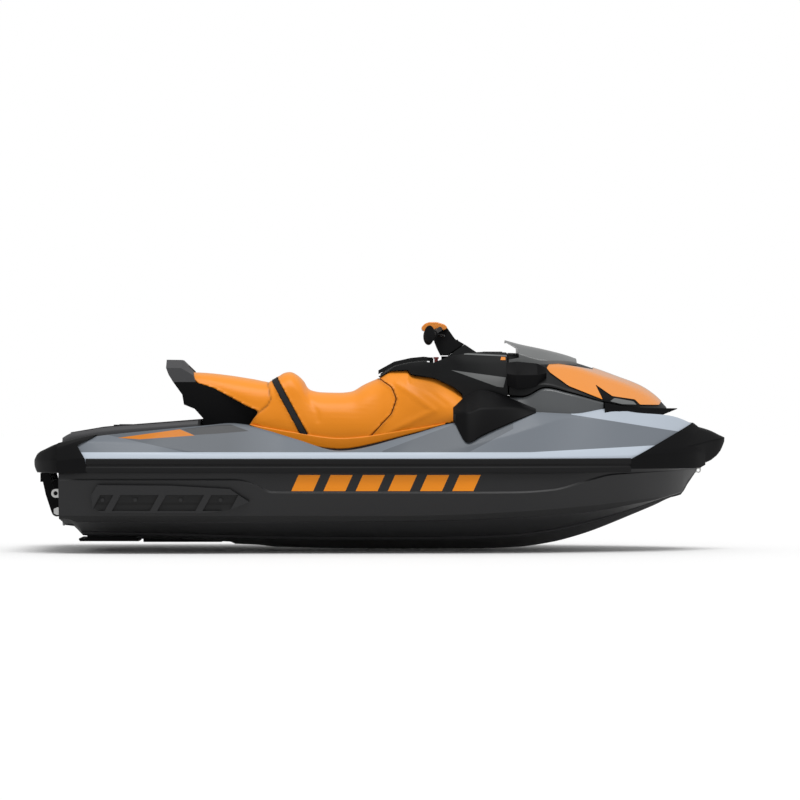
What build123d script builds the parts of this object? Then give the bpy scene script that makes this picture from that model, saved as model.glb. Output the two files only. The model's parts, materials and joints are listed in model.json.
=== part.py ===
"""A three-seat personal watercraft, about 3.3 m long, with a jet pump, a steering nozzle, a reverse gate,
a front hatch over a storage bin, a glove box and a fold-down boarding step.

Millimetres. The origin is on the centreline amidships, at the waterline. +X is the bow, +Y is port, +Z is up.
Hull and deck are ruled shells through short tables of half sections: one row per station, stern first.
"""

import os
from math import atan2, cos, degrees, hypot, radians, sin

from build123d import *

# Shells, and how the big mouldings meet
HULL_WALL = 10.0
DECK_WALL = 8.0
SHEER_Z = 185.0  # height where hull and deck are bonded
BOND_STEP = 18.0  # how far the hull side lies inside the deck's edge
BOND_LAP = 32.0  # width of the deck's flange over the hull's top edge
TRIM = 8.0  # thickness of the caps that lie over the deck edge
FIT = 0.3  # gap between a piece and what it is seated on
SWING = 6.0  # clear space round pieces that move
PIN_GAP = 0.4  # radial gap of a pin in its bore

# Hull stations: x, keel height, strake (half-breadth, height), chine (half-breadth, height), side crease (same)
HULL = [
    (-1532, -112, 150, -108, 548, -54, 576, 115),
    (-1492, -116, 150, -110, 551, -54, 581, 115),
    (-1448, -184, 205, -146, 555, -54, 585, 115),
    (-1134, -194, 215, -154, 563, -54, 596, 115),
    (-700, -208, 225, -166, 569, -54, 602, 115),
    (-604, -212, 226, -168, 570, -53, 603, 96),
    (-523, -222, 226, -172, 570, -52, 603, 56),
    (83, -232, 226, -175, 566, -46, 603, 55),
    (420, -232, 212, -172, 548, -39, 594, 54),
    (640, -226, 190, -162, 512, -31, 570, 55),
    (811, -204, 160, -142, 462, -22, 532, 66),
    (960, -166, 122, -112, 402, -10, 484, 105),
    (1094, -118, 86, -76, 328, 3, 424, 138),
    (1215, -66, 54, -36, 246, 14, 355, 146),
    (1320, -20, 32, 2, 158, 24, 276, 152),
    (1400, 20, 16, 30, 80, 40, 206, 156),
    (1449, 34, 8, 42, 30, 56, 146, 160),
    (1481, 84, 6, 92, 18, 104, 100, 162),
    (1525, 150, 4, 154, 12, 158, 40, 166),
]
STRAKE_WIDTH, STRAKE_LIP = 30.0, 14.0
CHINE_TUCK = 32.0
CREASE_STEP = 8.0

# Deck stations: x, then half-breadth and height of the gunwale, the side crease, the top edge, the inner edge,
# the footwell floor outside and inside, and the pedestal
DECK = [
    (-1540, 575, 205, 550, 262, 505, 285, 480, 283, 400, 283, 300, 283, 200, 283),
    (-1386, 602, 219, 562, 300, 520, 321, 500, 318, 400, 318, 300, 318, 200, 318),
    (-1134, 612, 219, 564, 290, 506, 350, 486, 345, 400, 345, 300, 345, 200, 345),
    (-871, 616, 219, 584, 247, 498, 375, 478, 370, 400, 370, 300, 370, 200, 370),
    (-735, 618, 219, 590, 244, 490, 385, 470, 380, 425, 330, 285, 345, 212, 385),
    (-640, 619, 219, 594, 243, 498, 377, 478, 372, 452, 190, 268, 190, 212, 375),
    (-560, 619, 219, 597, 243, 510, 358, 490, 353, 465, 96, 262, 96, 208, 355),
    (-404, 620, 219, 601, 243, 530, 311, 510, 306, 480, 75, 258, 75, 203, 325),
    (-204, 620, 219, 608, 242, 562, 258, 542, 253, 492, 72, 255, 72, 200, 300),
    (131, 619, 220, 603, 246, 532, 332, 512, 327, 478, 75, 255, 75, 200, 345),
    (336, 613, 221, 590, 268, 506, 389, 486, 384, 455, 90, 262, 90, 205, 385),
    (470, 602, 222, 570, 298, 484, 404, 464, 399, 425, 180, 285, 180, 215, 410),
    (600, 584, 223, 545, 332, 466, 420, 446, 416, 402, 330, 300, 330, 225, 425),
    (715, 562, 224, 508, 366, 446, 440, 426, 436, 385, 424, 305, 425, 225, 425),
    (910, 514, 227, 408, 415, 388, 432, 368, 430, 335, 427, 280, 425, 225, 425),
    (1094, 450, 231, 366, 399, 318, 458, 300, 454, 276, 436, 245, 425, 225, 425),
    (1216, 396, 234, 322, 380, 270, 437, 254, 434, 240, 428, 228, 425, 215, 425),
    (1377, 302, 238, 238, 352, 190, 423, 174, 421, 150, 419, 125, 418, 100, 417),
    (1503, 196, 242, 140, 330, 100, 378, 88, 377, 70, 376, 50, 376, 30, 376),
    (1560, 110, 244, 72, 300, 48, 330, 40, 330, 30, 330, 20, 330, 10, 330),
]
BEVEL_IN, BEVEL_UP = 10.0, 22.0

# Gunwale bumper
BUMPER_FROM, BUMPER_TO = -1390.0, 1180.0
BUMPER_BOTTOM, BUMPER_TOP = 151.0, 219.0
BUMPER_OUT, BUMPER_ROUND = 8.0, 6.0

# Stern and bow caps: x, then half-breadth and height of the bottom edge, the ridge and the shoulder, and the crown
STERN_CAP = [
    (-1662, 372, 180, 384, 202, 372, 214, 220),
    (-1645, 424, 151, 438, 205, 424, 240, 248),
    (-1600, 496, 151, 512, 212, 480, 264, 274),
    (-1540, 552, 151, 572, 216, 520, 288, 298),
    (-1386, 600, 151, 611, 219, 560, 300, 305),
]
NOSE = [
    (1440, 215, 178, 250, 268, 150, 372, 392),
    (1525, 128, 184, 178, 284, 88, 362, 370),
    (1590, 74, 204, 112, 300, 52, 344, 350),
    (1640, 36, 250, 62, 309, 32, 322, 325),
    (1659, 18, 292, 36, 312, 20, 315, 316),
]
CAP_SKIRT = 168.0
NOSE_LINE = [(1182, CAP_SKIRT), (1182, 214), (1250, 250), (1506, 390), (1700, 420), (1700, 100), (1560, 100)]
STERN_LINE = [(-1700, 120), (-1700, 345), (-1340, 345), (-1370, 321), (-1443, 280), (-1403, 215), (-1392, 120)]
TOW_POCKET = (-1645.0, -1560.0, 45.0, 226.0)  # x from, x to, half-width, floor

# Swim platform: x, half-breadth, top height
PLATFORM = [(-1528, 392, 316), (-1490, 415, 337), (-1400, 430, 352), (-1330, 436, 364), (-1140, 436, 379), (-880, 420, 399)]
PLATFORM_EDGE = 16.0
MAT = 5.0
MAT_MARGIN = 36.0
MAT_GROOVE, MAT_RIBS = 10.0, 6
GROOVE_HALF = 120.0

# Saddle: x, top height, crown half-width, shoulder (half-width, height), skirt half-width
SADDLE = [
    (-950, 632, 105, 150, 590, 172),
    (-871, 626, 114, 158, 580, 186),
    (-735, 608, 122, 172, 560, 202),
    (-640, 593, 126, 178, 545, 212),
    (-560, 584, 126, 182, 532, 218),
    (-520, 600, 120, 180, 545, 220),
    (-486, 626, 112, 176, 575, 221),
    (-450, 633, 108, 173, 585, 222),
    (-404, 606, 112, 176, 560, 223),
    (-353, 540, 120, 188, 492, 224),
    (-300, 527, 124, 195, 472, 224),
    (-204, 525, 124, 196, 470, 225),
    (-147, 533, 118, 192, 476, 225),
    (-92, 566, 106, 182, 500, 224),
    (-15, 606, 92, 164, 545, 223),
    (36, 638, 92, 160, 580, 226),
    (121, 642, 104, 172, 585, 238),
    (136, 621, 108, 180, 572, 240),
    (248, 603, 140, 232, 530, 268),
    (336, 562, 180, 276, 486, 305),
    (384, 525, 205, 300, 462, 322),
]
SADDLE_CROWN = 6.0  # rise of the middle over the crown line
SKIRT_BAND = 40.0  # height of the saddle's upright lower edge
# Side outlines (x, z) of the seams between the saddle's pieces
REAR_SEAT_UNDER = [(-938, 630), (-900, 579), (-812, 550), (-730, 506), (-649, 462), (-601, 443), (-641, 377)]
STRAP_AT = ((-526.0, 600.0), (-362.0, 300.0))  # middle of the strap, at its top and bottom
STRAP_HALF, STRAP_THICK = 16.0, 6.0
KNEE_SEAM = [(-20, 720), (-20, 602), (44, 556), (66, 500), (42, 430), (-83, 294), (-83, 180)]
SEAM_GAP = 1.0

# Rear seat support and grab handle, side outlines below and behind the seat
SUPPORT_UNDER = [(-641, 300), (-876, 300), (-868, 408), (-908, 453), (-960, 474), (-968, 522), (-1012, 583)]
SUPPORT_HALF = (150.0, 170.0)  # half-width at the deck, at the handle
HANDLE = [(-1046, 691), (-972, 690), (-916, 636), (-903, 583), (-1012, 583), (-1034, 640)]
HANDLE_HALF, HANDLE_SHOULDER, HANDLE_DROP = 168.0, 105.0, 40.0
HAND_GAP = (100.0, 602.0, 662.0)  # half-width, from height, to height

# Console, side outline, and its half-widths: x, top, waist, foot
CONSOLE_OUTLINE = [(-24, 612), (-15, 606), (36, 638), (121, 642), (136, 621), (248, 603), (336, 562), (384, 525),
                   (384, 300), (598, 300), (598, 725), (500, 729), (448, 727), (330, 712), (245, 676), (196, 682),
                   (134, 676), (58, 658), (-4, 616)]
CONSOLE_WIDTHS = [(-24, 50, 92, 92), (36, 66, 100, 100), (134, 84, 124, 120), (248, 104, 170, 175),
                  (384, 150, 235, 250), (598, 205, 325, 285)]
CONSOLE_SHOULDER = 38.0

# Glove box in the console's rear, and its lid
GLOVE = (76.0, 200.0, 70.0, 540.0, 652.0)  # x from, x to, half-width, bottom, rim height
GLOVE_WALL = 3.0
LID_UNDER = [(-22, 622), (54, 664), (134, 682), (196, 688), (240, 684)]
LID_RISE = 18.0
LID_HALF = (66.0, 98.0)  # half-width at the rear, at the front
LID_HINGE = (236.0, 694.0)
LID_MAIN_END = 216.0
LID_PIN_R, LID_KNUCKLE_R, LID_TONGUE_HALF, LID_LUG = 4.0, 8.0, 40.0, 10.0

# Front hatch: x, crown height, then half-width and height of the spine edge, the shoulder, the side and the bottom
HOOD = [
    (606, 727, 150, 716, 262, 640, 318, 570, 322, 520),
    (671, 724, 138, 715, 260, 648, 336, 566, 340, 516),
    (778, 715, 114, 707, 243, 661, 352, 572, 354, 560),
    (890, 692, 95, 684, 222, 655, 344, 548, 350, 537),
    (1056, 640, 68, 634, 194, 606, 312, 506, 320, 490),
    (1134, 611, 55, 606, 164, 583, 266, 490, 278, 474),
    (1255, 563, 40, 558, 116, 530, 190, 466, 200, 455),
    (1330, 512, 28, 507, 80, 486, 130, 450, 138, 446),
    (1378, 462, 16, 460, 42, 452, 68, 442, 72, 439),
]
HOOD_WALL = 12.0
HOOD_HOLLOW_END = 1290.0
PANEL_THICK = 5.0
PANEL_OUTLINE = [(787, 650), (800, 664), (890, 662), (1021, 628), (1040, 720), (1400, 720), (1400, 560), (1352, 492),
                 (1338, 473), (1239, 474), (1215, 499), (1102, 515), (1021, 571), (1053, 499), (892, 563), (803, 628)]
VENT_OUTLINE = [(1026, 566), (1102, 513), (1215, 497), (1236, 472), (1240, 440), (1060, 440), (1056, 496)]
VENT_THICK = 2.5
VENT_LIGHT = [(1090, 490), (1112, 506), (1206, 490), (1222, 474), (1150, 476)]
HINGE = (1392.0, 446.0)  # front hatch hinge
HINGE_PIN_R, HINGE_KNUCKLE_R, TONGUE_HALF, HINGE_LUG = 5.0, 9.0, 18.0, 10.0

# Coaming below the front hatch: x, foot half-breadth, top half-breadth, top height
COAMING = [(606, 408, 330, 508), (671, 404, 348, 508), (778, 396, 362, 552), (890, 384, 358, 529), (1056, 330, 326, 486)]
COAMING_INNER = 262.0

# Lip round the hatch's front: x, outer width beyond the hatch, top, bottom
LIP = [(1062, 28, 484, 410), (1134, 34, 470, 405), (1255, 36, 458, 400), (1378, 38, 456, 390)]
LIP_FRONT, LIP_FRONT_HALF = 1426.0, 88.0

# Wind visor: x, crown height, shoulder (half-width, height), edge (half-width, height)
VISOR = [
    (593, 789, 118, 780, 222, 742),
    (667, 769, 118, 760, 232, 716),
    (760, 749, 108, 742, 228, 690),
    (890, 716, 84, 710, 176, 684),
    (938, 699, 60, 694, 118, 676),
]
VISOR_UNDERCUT = [(560, 600), (560, 772), (604, 774), (650, 748), (656, 700), (606, 690), (606, 600)]

# Mirror pods: x, inner and outer half-breadth, bottom, top
MIRROR = [(592, 250, 388, 566, 674), (640, 250, 392, 548, 680), (740, 250, 372, 560, 670), (784, 250, 340, 600, 650)]
MIRROR_GLASS, MIRROR_RIM, MIRROR_INNER = 3.0, 8.0, 333.0

# Side fairing: x, lower edge (height, stand-off from the deck side), middle (half-breadth, height), upper edge (same)
FAIRING = [
    (336, 404, 10, 474, 440, 395, 462),
    (404, 294, 12, 530, 440, 350, 520),
    (470, 330, 18, 520, 460, 325, 545),
    (600, 386, 14, 478, 462, 335, 510),
    (730, 437, 6, 430, 448, 390, 456),
]

# Storage bin below the front hatch
BIN = (724.0, 1130.0, 196.0, 70.0, 425.0)  # x from, x to, half-width, floor, deck height
BIN_WALL = 4.0
BIN_FLANGE, BIN_FLANGE_THICK = 12.0, 5.0
BIN_DRAFT = 30.0  # how far each wall leans in at the floor

# Jet pump, all on one axis
PUMP_Z = -60.0
BORE_R, PUMP_R = 80.5, 95.0
PUMP_FRONT, PUMP_REAR = -1180.0, -1415.0
VENTURI_FROM, VENTURI_R, VENTURI_WALL = -1330.0, 50.0, 7.0
FLANGE_R, FLANGE_THICK = 112.0, 12.0
REAR_FLANGE_R, REAR_FLANGE_THICK = 90.0, 10.0
FOOT_HALF = 60.0
VANES, VANE_THICK, VANE_FROM, VANE_TO = 8, 6.0, -1342.0, -1306.0
STATOR_HUB_R, STATOR_TAIL, STATOR_TAIL_R = 34.0, -1398.0, 12.0
IMPELLER_FROM, IMPELLER_TO = -1297.0, -1227.0
HUB_R, BLADES, BLADE_THICK, TIP_GAP, BLADE_TWIST = 30.0, 4, 5.0, 1.0, 62.0
BLADE_STEPS = 4
SHAFT_R, SHAFT_GAP, SHAFT_SEAT = 14.0, 5.0, 20.0
TUNNEL_HALF, TUNNEL_ROOF, TUNNEL_WALL = 145.0, 136.0, 10.0
DUCT_HALF, DUCT_FRONT = 90.0, -720.0
RIDE_PLATE_REAR, RIDE_PLATE_THICK, RIDE_PLATE_RIB = -1468.0, 10.0, 6.0
GRATE_BARS, GRATE_BAR, GRATE_HEIGHT = 5, 9.0, 16.0

# Steering nozzle
NOZZLE_PIVOT, NOZZLE_FROM, NOZZLE_END = -1442.0, -1450.0, -1556.0
NOZZLE_MOUTH_R, NOZZLE_EXIT_R, NOZZLE_WALL = 66.0, 50.0, 7.0
EAR_FROM, EAR_TO, LUG_FROM, LUG_TO = 60.0, 73.0, 78.0, 88.0  # distances from the pump axis
PIVOT_R, EAR_HALF = 8.0, 14.0
NOZZLE_ARM = (-1502.0, -1480.0, 40.0, 88.0)  # x from, x to, y from, y to

# Reverse gate
GATE_PIVOT = -1396.0
GATE_R, GATE_WALL, GATE_HALF = 175.0, 9.0, 139.0
GATE_FROM, GATE_TO = 28.0, 112.0  # degrees above straight aft, stowed
GATE_SIDE, GATE_SIDE_THICK = (36.0, 80.0), 8.0
GATE_ARM_Y, GATE_ARM_THICK, GATE_PIN_R, GATE_BOSS_R = 116.0, 9.0, 9.0, 20.0
GATE_LUG_Y = (60.0, 110.0)

# Boarding step
STEP_HINGE = (-1568.0, -39.0)
STEP_ARM_Y, STEP_ARM_THICK = 205.0, 16.0
STEP_BOSS_R, STEP_PIN_R = 26.0, 7.0
STEP_ARM_TOP = [(-1646, 146), (-1606, 146), (-1594, 100), (-1545, -30), (-1594, -45), (-1622, 40)]
TREAD = (-1648.0, -1604.0, 102.0, 145.0)  # x from, x to, bottom, top
TREAD_WALL = 7.0
BRACKET_THICK, BRACKET_GAP, BRACKET_R = 10.0, 6.0, 18.0

# Steering axis: a point on it, tilt aft of vertical, and distances along it
STEER = (390.0, 700.0)
TILT = 35.0
TURN_PLANE = 50.0  # the boot ends here and the riser starts SWING above
POST_R, POST_FROM, POST_TO = 30.0, -60.0, 90.0
RISER_FOOT = 713.0  # lowest point of the turning riser, clear of the console as it turns
POST_WELL_R, POST_WELL_FLOOR = 37.0, -10.0
BEARING_GAP = 0.3
RISER = [(286, 700), (262, 748), (250, 778), (246, 812), (262, 852), (300, 862), (318, 838), (350, 792), (400, 764),
         (455, 727), (455, 700)]  # side outline of boot and riser together
RISER_HALF = (78.0, 40.0)  # half-width at the console, at the top

# Handlebar and grips
BAR_R = 12.0
BAR_PATH = [(0, 276, 836), (120, 276, 838), (212, 240, 812), (372, 232, 806)]  # half-breadth, x, z
GRIP_R, GRIP_FLANGE_R, GRIP_FROM = 19.0, 31.0, 238.0
GRIP_FLANGE = 6.0
PALM = (-34.0, 27.0, 11.0)  # palm rest: aft of the bar, half its length aft, half its height
CAP_PAD = (236.0, 304.0, 92.0, 857.0, 874.0)  # pad over the bar: x from, x to, half-width, bottom, top
LEVER_R, LEVER_REACH = 6.0, 56.0
LEVER_FROM, LEVER_TO = 206.0, 345.0

# Gauge, lanyard post
GAUGE = (484.0, 578.0, 88.0, 712.0, 731.0)  # x from, x to, half-width, pocket floor, top
LANYARD = (258.0, -72.0, 9.0, 704.0)  # x, y, radius, top

# Engine block and its bed
ENGINE = (-470.0, 170.0, 172.0, -120.0, 232.0)  # x from, x to, half-width, bottom, top
BED_Y, BED_WIDTH = 130.0, 40.0

# Eyes, anchors, plugs and sponsons
EYE_R, EYE_HOLE_R, EYE_THICK = 21.0, 10.0, 12.0
STERN_EYE = (-1556.0, 430.0, 52.0)
TOW_EYE = (-1602.0, 254.0)
BOW_EYE, BOW_EYE_R, BOW_HOLE_R = (1534.0, 154.0), 13.0, 7.0
PLUG_Y, PLUG_Z, PLUG_R, PLUG_OUT = 300.0, 0.0, 20.0, 9.0
ANCHOR_X, ANCHOR_Y = -1262.0, 200.0
ANCHOR_R, ANCHOR_HOLE_R, ANCHOR_DEPTH, ANCHOR_RISE = 34.0, 12.0, 14.0, 3.0
SPONSON = [(-1374, 46), (-1344, 94), (-1000, 92), (-720, 76), (-628, 14), (-720, -22), (-830, -38), (-1330, -36),
           (-1368, -12)]
SPONSON_FACE = ((602.0, -50.0), (618.0, 110.0))  # half-breadth and height of the face, low and high
RIBS, RIB_FIRST, RIB_PITCH, RIB_WIDTH = 3, -1273.0, 214.0, 34.0
POCKETS = (-1352.0, -700.0, -28.0, 48.0, 42.0, 15.0)  # x from, x to, z from, z to, lean, depth
BOLT_R, BOLT_OUT, BOLT_Z = 9.0, 8.0, 24.0

WIDE = 2000.0  # larger than the craft, for cutting pieces


def solids_in(*shapes):
    """All solids in shapes, lists and empty results."""
    found = []
    for shape in shapes:
        if shape is None:
            continue
        found += solids_in(*shape) if isinstance(shape, (list, tuple)) else list(shape.solids())
    return found


def gathered(shapes):
    solids = solids_in(shapes)
    return solids[0] if len(solids) == 1 else Compound(solids)


def minus(shape, *tools):
    cutters = solids_in(*tools)
    return gathered([solid.cut(*cutters) for solid in solids_in(shape)])


def plus(*shapes):
    first, *rest = solids_in(*shapes)
    return gathered(first.fuse(*rest)) if rest else first


def common(shape, tool):
    return gathered([a.intersect(b) for a in solids_in(shape) for b in solids_in(tool)])


def main_solid(shape):
    """The largest solid of a boolean result, without slivers."""
    return max(solids_in(shape), key=lambda s: s.volume)


def loft(sections):
    """A ruled solid through closed sections, each a list of (x, y, z)."""
    return Solid.make_loft([Wire.make_polygon([Vector(*p) for p in s], close=True) for s in sections], ruled=True)


def across(x, half):
    """A closed section at x from half an outline, bottom centre round to top centre, mirrored to the other side."""
    return [(x, y, z) for y, z in half] + [(x, -y, z) for y, z in reversed(half) if y > 0]


def plate(outline, y_from, y_to):
    """A side outline (x, z) extruded across the craft, from y_from to y_to."""
    face = Face(Wire.make_polygon([Vector(x, y_from, z) for x, z in outline], close=True))
    return Solid.extrude(face, Vector(0, y_to - y_from, 0))


def slab(outline, half=WIDE):
    """A side outline extruded equally to both sides."""
    return plate(outline, -half, half)


def box(x_from, x_to, y_from, y_to, z_from, z_to):
    return Solid.make_box(x_to - x_from, y_to - y_from, z_to - z_from, Plane((x_from, y_from, z_from)))


def rod(start, end, radius, end_radius=None):
    """A round bar, or a cone, between two points."""
    a, b = Vector(*start), Vector(*end)
    plane = Plane(origin=a, z_dir=(b - a).normalized())
    if end_radius is None:
        return Solid.make_cylinder(radius, (b - a).length, plane)
    return Solid.make_cone(radius, end_radius, (b - a).length, plane)


def pin(x, y_from, y_to, z, radius):
    """A round bar across the craft."""
    return rod((x, y_from, z), (x, y_to, z), radius)


def mirrored(solid):
    return solid.mirror(Plane.XZ)


def both_sides(shape):
    """The shape's solids and their mirror images in the centreline plane."""
    solids = solids_in(shape)
    return Compound(solids + [mirrored(s) for s in solids])


def offset_line(line, gap):
    """A line of (y, z) moved by gap to its right, with mitred corners."""
    moved = []
    for i, (y, z) in enumerate(line):
        normals = []
        for a, b in ((i - 1, i), (i, i + 1)):
            if a >= 0 and b < len(line):
                dy, dz = line[b][0] - line[a][0], line[b][1] - line[a][1]
                length = hypot(dy, dz)
                normals.append((dz / length, -dy / length))
        ny, nz = sum(n[0] for n in normals), sum(n[1] for n in normals)
        share = gap if len(normals) == 1 else gap / max(0.6, (ny * ny + nz * nz) / 2)
        moved.append((y + ny * share, z + nz * share))
    return moved


def at(table, x):
    """The table's row at x, between its two neighbours."""
    x = min(max(x, table[0][0]), table[-1][0])
    for low, high in zip(table, table[1:]):
        if x <= high[0]:
            share = (x - low[0]) / (high[0] - low[0])
            return [a + (b - a) * share for a, b in zip(low, high)]


def clip(table, x_from, x_to):
    """The table's rows between two stations, with rows made at both ends."""
    return [at(table, x_from), *(r for r in table if x_from < r[0] < x_to), at(table, x_to)]


def deck_half(row):
    """Half the deck's outer line at a station, from the gunwale to the pedestal."""
    gunwale_y, gunwale_z = row[1:3]
    rest = [(row[i], row[i + 1]) for i in range(3, len(row), 2)]
    return [(gunwale_y, SHEER_Z), (gunwale_y, gunwale_z), (gunwale_y - BEVEL_IN, gunwale_z + BEVEL_UP), *rest]


def deck_line(row):
    half = deck_half(row)
    return half + [(-y, z) for y, z in reversed(half)]


def deck_side(x, z):
    """The deck's half-breadth at x and height z, on its outer side."""
    half = deck_half(at(DECK, x))[1:5]
    for (y0, z0), (y1, z1) in zip(half, half[1:]):
        if z <= z1:
            return y0 + (y1 - y0) * (z - z0) / (z1 - z0)
    return half[-1][0]


def deck_solid(grow=0.0, bottom=-400.0, rows=DECK):
    """Everything below the deck's outer surface, moved outwards by grow, down to a flat bottom."""
    sections = []
    for row in rows:
        line = offset_line(deck_line(row), grow) if grow else deck_line(row)
        line = [(line[0][0], bottom), *line, (line[-1][0], bottom)]
        sections.append([(row[0], y, z) for y, z in line])
    return loft(sections)


def hull_half(row):
    """Half the hull's outer line at a station, from the keel to the sheer."""
    x, keel_z, strake_y, strake_z, chine_y, chine_z, side_y, crease_z = row
    small = min(1.0, (chine_z - keel_z) / 150)
    return [
        (0, keel_z),
        (strake_y, strake_z),
        (strake_y + STRAKE_WIDTH * small, strake_z),
        (strake_y + (STRAKE_WIDTH + 4) * small, strake_z + STRAKE_LIP * small),
        (chine_y - CHINE_TUCK * small, chine_z - CHINE_TUCK * small),
        (chine_y, chine_z),
        (side_y, crease_z),
        (side_y - CREASE_STEP * small, crease_z + CREASE_STEP * small),
        (at(DECK, x)[1] - BOND_STEP, SHEER_Z),
    ]


def hull_solid(wall=0.0, rows=HULL):
    """The hull as a solid up to the sheer, or its hollow when a wall is given."""
    sections = []
    for row in rows:
        half = hull_half(row)
        line = [(-y, z) for y, z in reversed(half[1:])] + half
        if wall:
            line = offset_line(line, -wall)
            line = [(line[0][0], SHEER_Z + 60), *line, (line[-1][0], SHEER_Z + 60)]
        sections.append([(row[0], y, z) for y, z in line])
    return loft(sections)


def tunnel(grow=0.0):
    """The pump tunnel and intake duct, grown by the walls round them."""
    low = -400.0
    roof, duct_roof = TUNNEL_ROOF + grow, PUMP_Z + BORE_R + grow
    room = [(-1700, low), (-1700, roof), (PUMP_FRONT + grow, roof), (PUMP_FRONT + grow, low)]
    front = DUCT_FRONT + grow * 1.4
    duct = [(PUMP_FRONT - 1, low), (PUMP_FRONT - 1, duct_roof), (PUMP_FRONT + 40, duct_roof), (front, -200), (front, low)]
    return slab(room, TUNNEL_HALF + grow), slab(duct, DUCT_HALF + grow)


def make_hull(hull_outer):
    """The hull shell with its pump tunnel, intake duct, shaft hole and engine bed."""
    hollow = hull_solid(HULL_WALL, clip(HULL, HULL[0][0] + HULL_WALL, 1330))
    shell = minus(hull_outer, minus(hollow, tunnel(TUNNEL_WALL)), tunnel())
    x_from, x_to, _, bottom, _ = ENGINE
    for side in (1, -1):
        y = side * BED_Y
        rail = box(x_from + 20, x_to - 20, y - BED_WIDTH / 2, y + BED_WIDTH / 2, -300, bottom - FIT)
        shell = plus(shell, common(rail, hull_outer))
    return main_solid(minus(shell, rod((PUMP_FRONT - 10, 0, PUMP_Z), (DUCT_FRONT, 0, PUMP_Z), SHAFT_R + SHAFT_GAP)))


def make_deck():
    """The deck shell: gunwales, footwells and seat pedestal in one moulding, open for the storage bin."""
    sections = []
    for row in DECK:
        edge = row[1] - BOND_LAP
        line = [(edge, SHEER_Z), *deck_line(row), (-edge, SHEER_Z)]
        sections.append([(row[0], y, z) for y, z in line + offset_line(line, -DECK_WALL)[::-1]])
    x_from, x_to, half, _, top = BIN
    opening = box(x_from - FIT, x_to + FIT, -half - FIT, half + FIT, top - 60, top + 20)
    return main_solid(minus(loft(sections), opening))


def make_bumper(hull_outer):
    """The rubber bumper that hooks under the bonded flange on each side."""
    sections = []
    for row in clip(DECK, BUMPER_FROM, BUMPER_TO):
        edge = row[1] + FIT
        out, foot = edge + BUMPER_OUT, row[1] - BOND_LAP
        corner = 2 * BUMPER_ROUND
        outline = [(foot, BUMPER_BOTTOM), (out - BUMPER_ROUND, BUMPER_BOTTOM), (out, BUMPER_BOTTOM + corner),
                   (out, BUMPER_TOP - corner), (out - BUMPER_ROUND, BUMPER_TOP), (edge, BUMPER_TOP),
                   (edge, SHEER_Z - FIT), (foot, SHEER_Z - FIT)]
        sections.append([(row[0], y, z) for y, z in outline])
    return both_sides(main_solid(minus(loft(sections), hull_outer)))


def cap_loft(table):
    sections = []
    for x, bottom_y, bottom_z, ridge_y, ridge_z, shoulder_y, shoulder_z, crown_z in table:
        half = [(0, bottom_z), (bottom_y, bottom_z), (ridge_y, ridge_z), (shoulder_y, shoulder_z), (0, crown_z)]
        sections.append(across(x, half))
    return loft(sections)


def make_cap(table, line, x_from, x_to, skirt, hull_outer):
    """A black end cap: a skin over the deck edge and a solid end, trimmed to its side line."""
    rows = clip(DECK, x_from, x_to)
    cap = common(plus(deck_solid(TRIM, skirt, rows), cap_loft(table)), slab(line))
    return minus(cap, deck_solid(0, SHEER_Z, rows), hull_outer)


def make_stern_cap(hull_outer):
    x_from, x_to, half, floor = TOW_POCKET
    cap = make_cap(STERN_CAP, STERN_LINE, DECK[0][0], -1200, 151.0, hull_outer)
    return main_solid(minus(cap, box(x_from, x_to, -half, half, floor, 400)))


def platform_solid():
    sections = []
    for x, half, top in PLATFORM:
        sections.append(across(x, [(0, 200), (half, 200), (half, top - PLATFORM_EDGE), (half - PLATFORM_EDGE, top), (0, top)]))
    return loft(sections)


def anchor_top():
    return at(PLATFORM, ANCHOR_X)[2]


def make_platform(deck_outer, stern_cap):
    """The swim platform on the rear deck, bored for the anchors."""
    top = anchor_top()
    wells = [rod((ANCHOR_X, y, top - ANCHOR_DEPTH), (ANCHOR_X, y, top + 40), ANCHOR_R + FIT) for y in (ANCHOR_Y, -ANCHOR_Y)]
    x_from, x_to, half, floor = TOW_POCKET
    room = box(x_from, x_to, -half, half, floor, 400)
    return main_solid(minus(platform_solid(), deck_outer, stern_cap, wells, room))


def make_platform_mat():
    """Grooved foam mat on the platform."""
    sections = []
    for x, half, top in PLATFORM[1:]:
        y = half - PLATFORM_EDGE - MAT_MARGIN
        sections.append(across(x, [(0, top), (y, top), (y, top + MAT), (0, top + MAT)]))
    rear, front = PLATFORM[1][0], PLATFORM[-1][0]
    pitch = (front - rear) / MAT_RIBS
    grooves = []
    for i in range(1, MAT_RIBS):
        x = rear + i * pitch
        grooves.append(box(x - MAT_GROOVE / 2, x + MAT_GROOVE / 2, -GROOVE_HALF, GROOVE_HALF, 300, 460))
    wells = [rod((ANCHOR_X, y, 300), (ANCHOR_X, y, 460), ANCHOR_R + MAT_GROOVE) for y in (ANCHOR_Y, -ANCHOR_Y)]
    return main_solid(minus(loft(sections), grooves, wells))


def make_anchors():
    """Two accessory anchors in the platform, each a bored disc."""
    top = anchor_top()
    solids = []
    for y in (ANCHOR_Y, -ANCHOR_Y):
        disc = rod((ANCHOR_X, y, top - ANCHOR_DEPTH), (ANCHOR_X, y, top + ANCHOR_RISE + MAT), ANCHOR_R)
        hole = rod((ANCHOR_X, y, top - ANCHOR_DEPTH + 4), (ANCHOR_X, y, top + 40), ANCHOR_HOLE_R)
        solids.append(minus(disc, hole))
    return Compound(solids)


def make_footwell_mats():
    """One mat on each footwell floor."""
    sections = []
    for row in [r for r in DECK if -570 < r[0] < 340]:
        x, outer_y, outer_z, inner_y, inner_z = row[0], row[9], row[10], row[11], row[12]
        a, b = inner_y + 14, outer_y - 12
        sections.append([(x, a, inner_z + FIT), (x, b, outer_z + FIT), (x, b, outer_z + MAT), (x, a, inner_z + MAT)])
    return both_sides(loft(sections))


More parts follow.
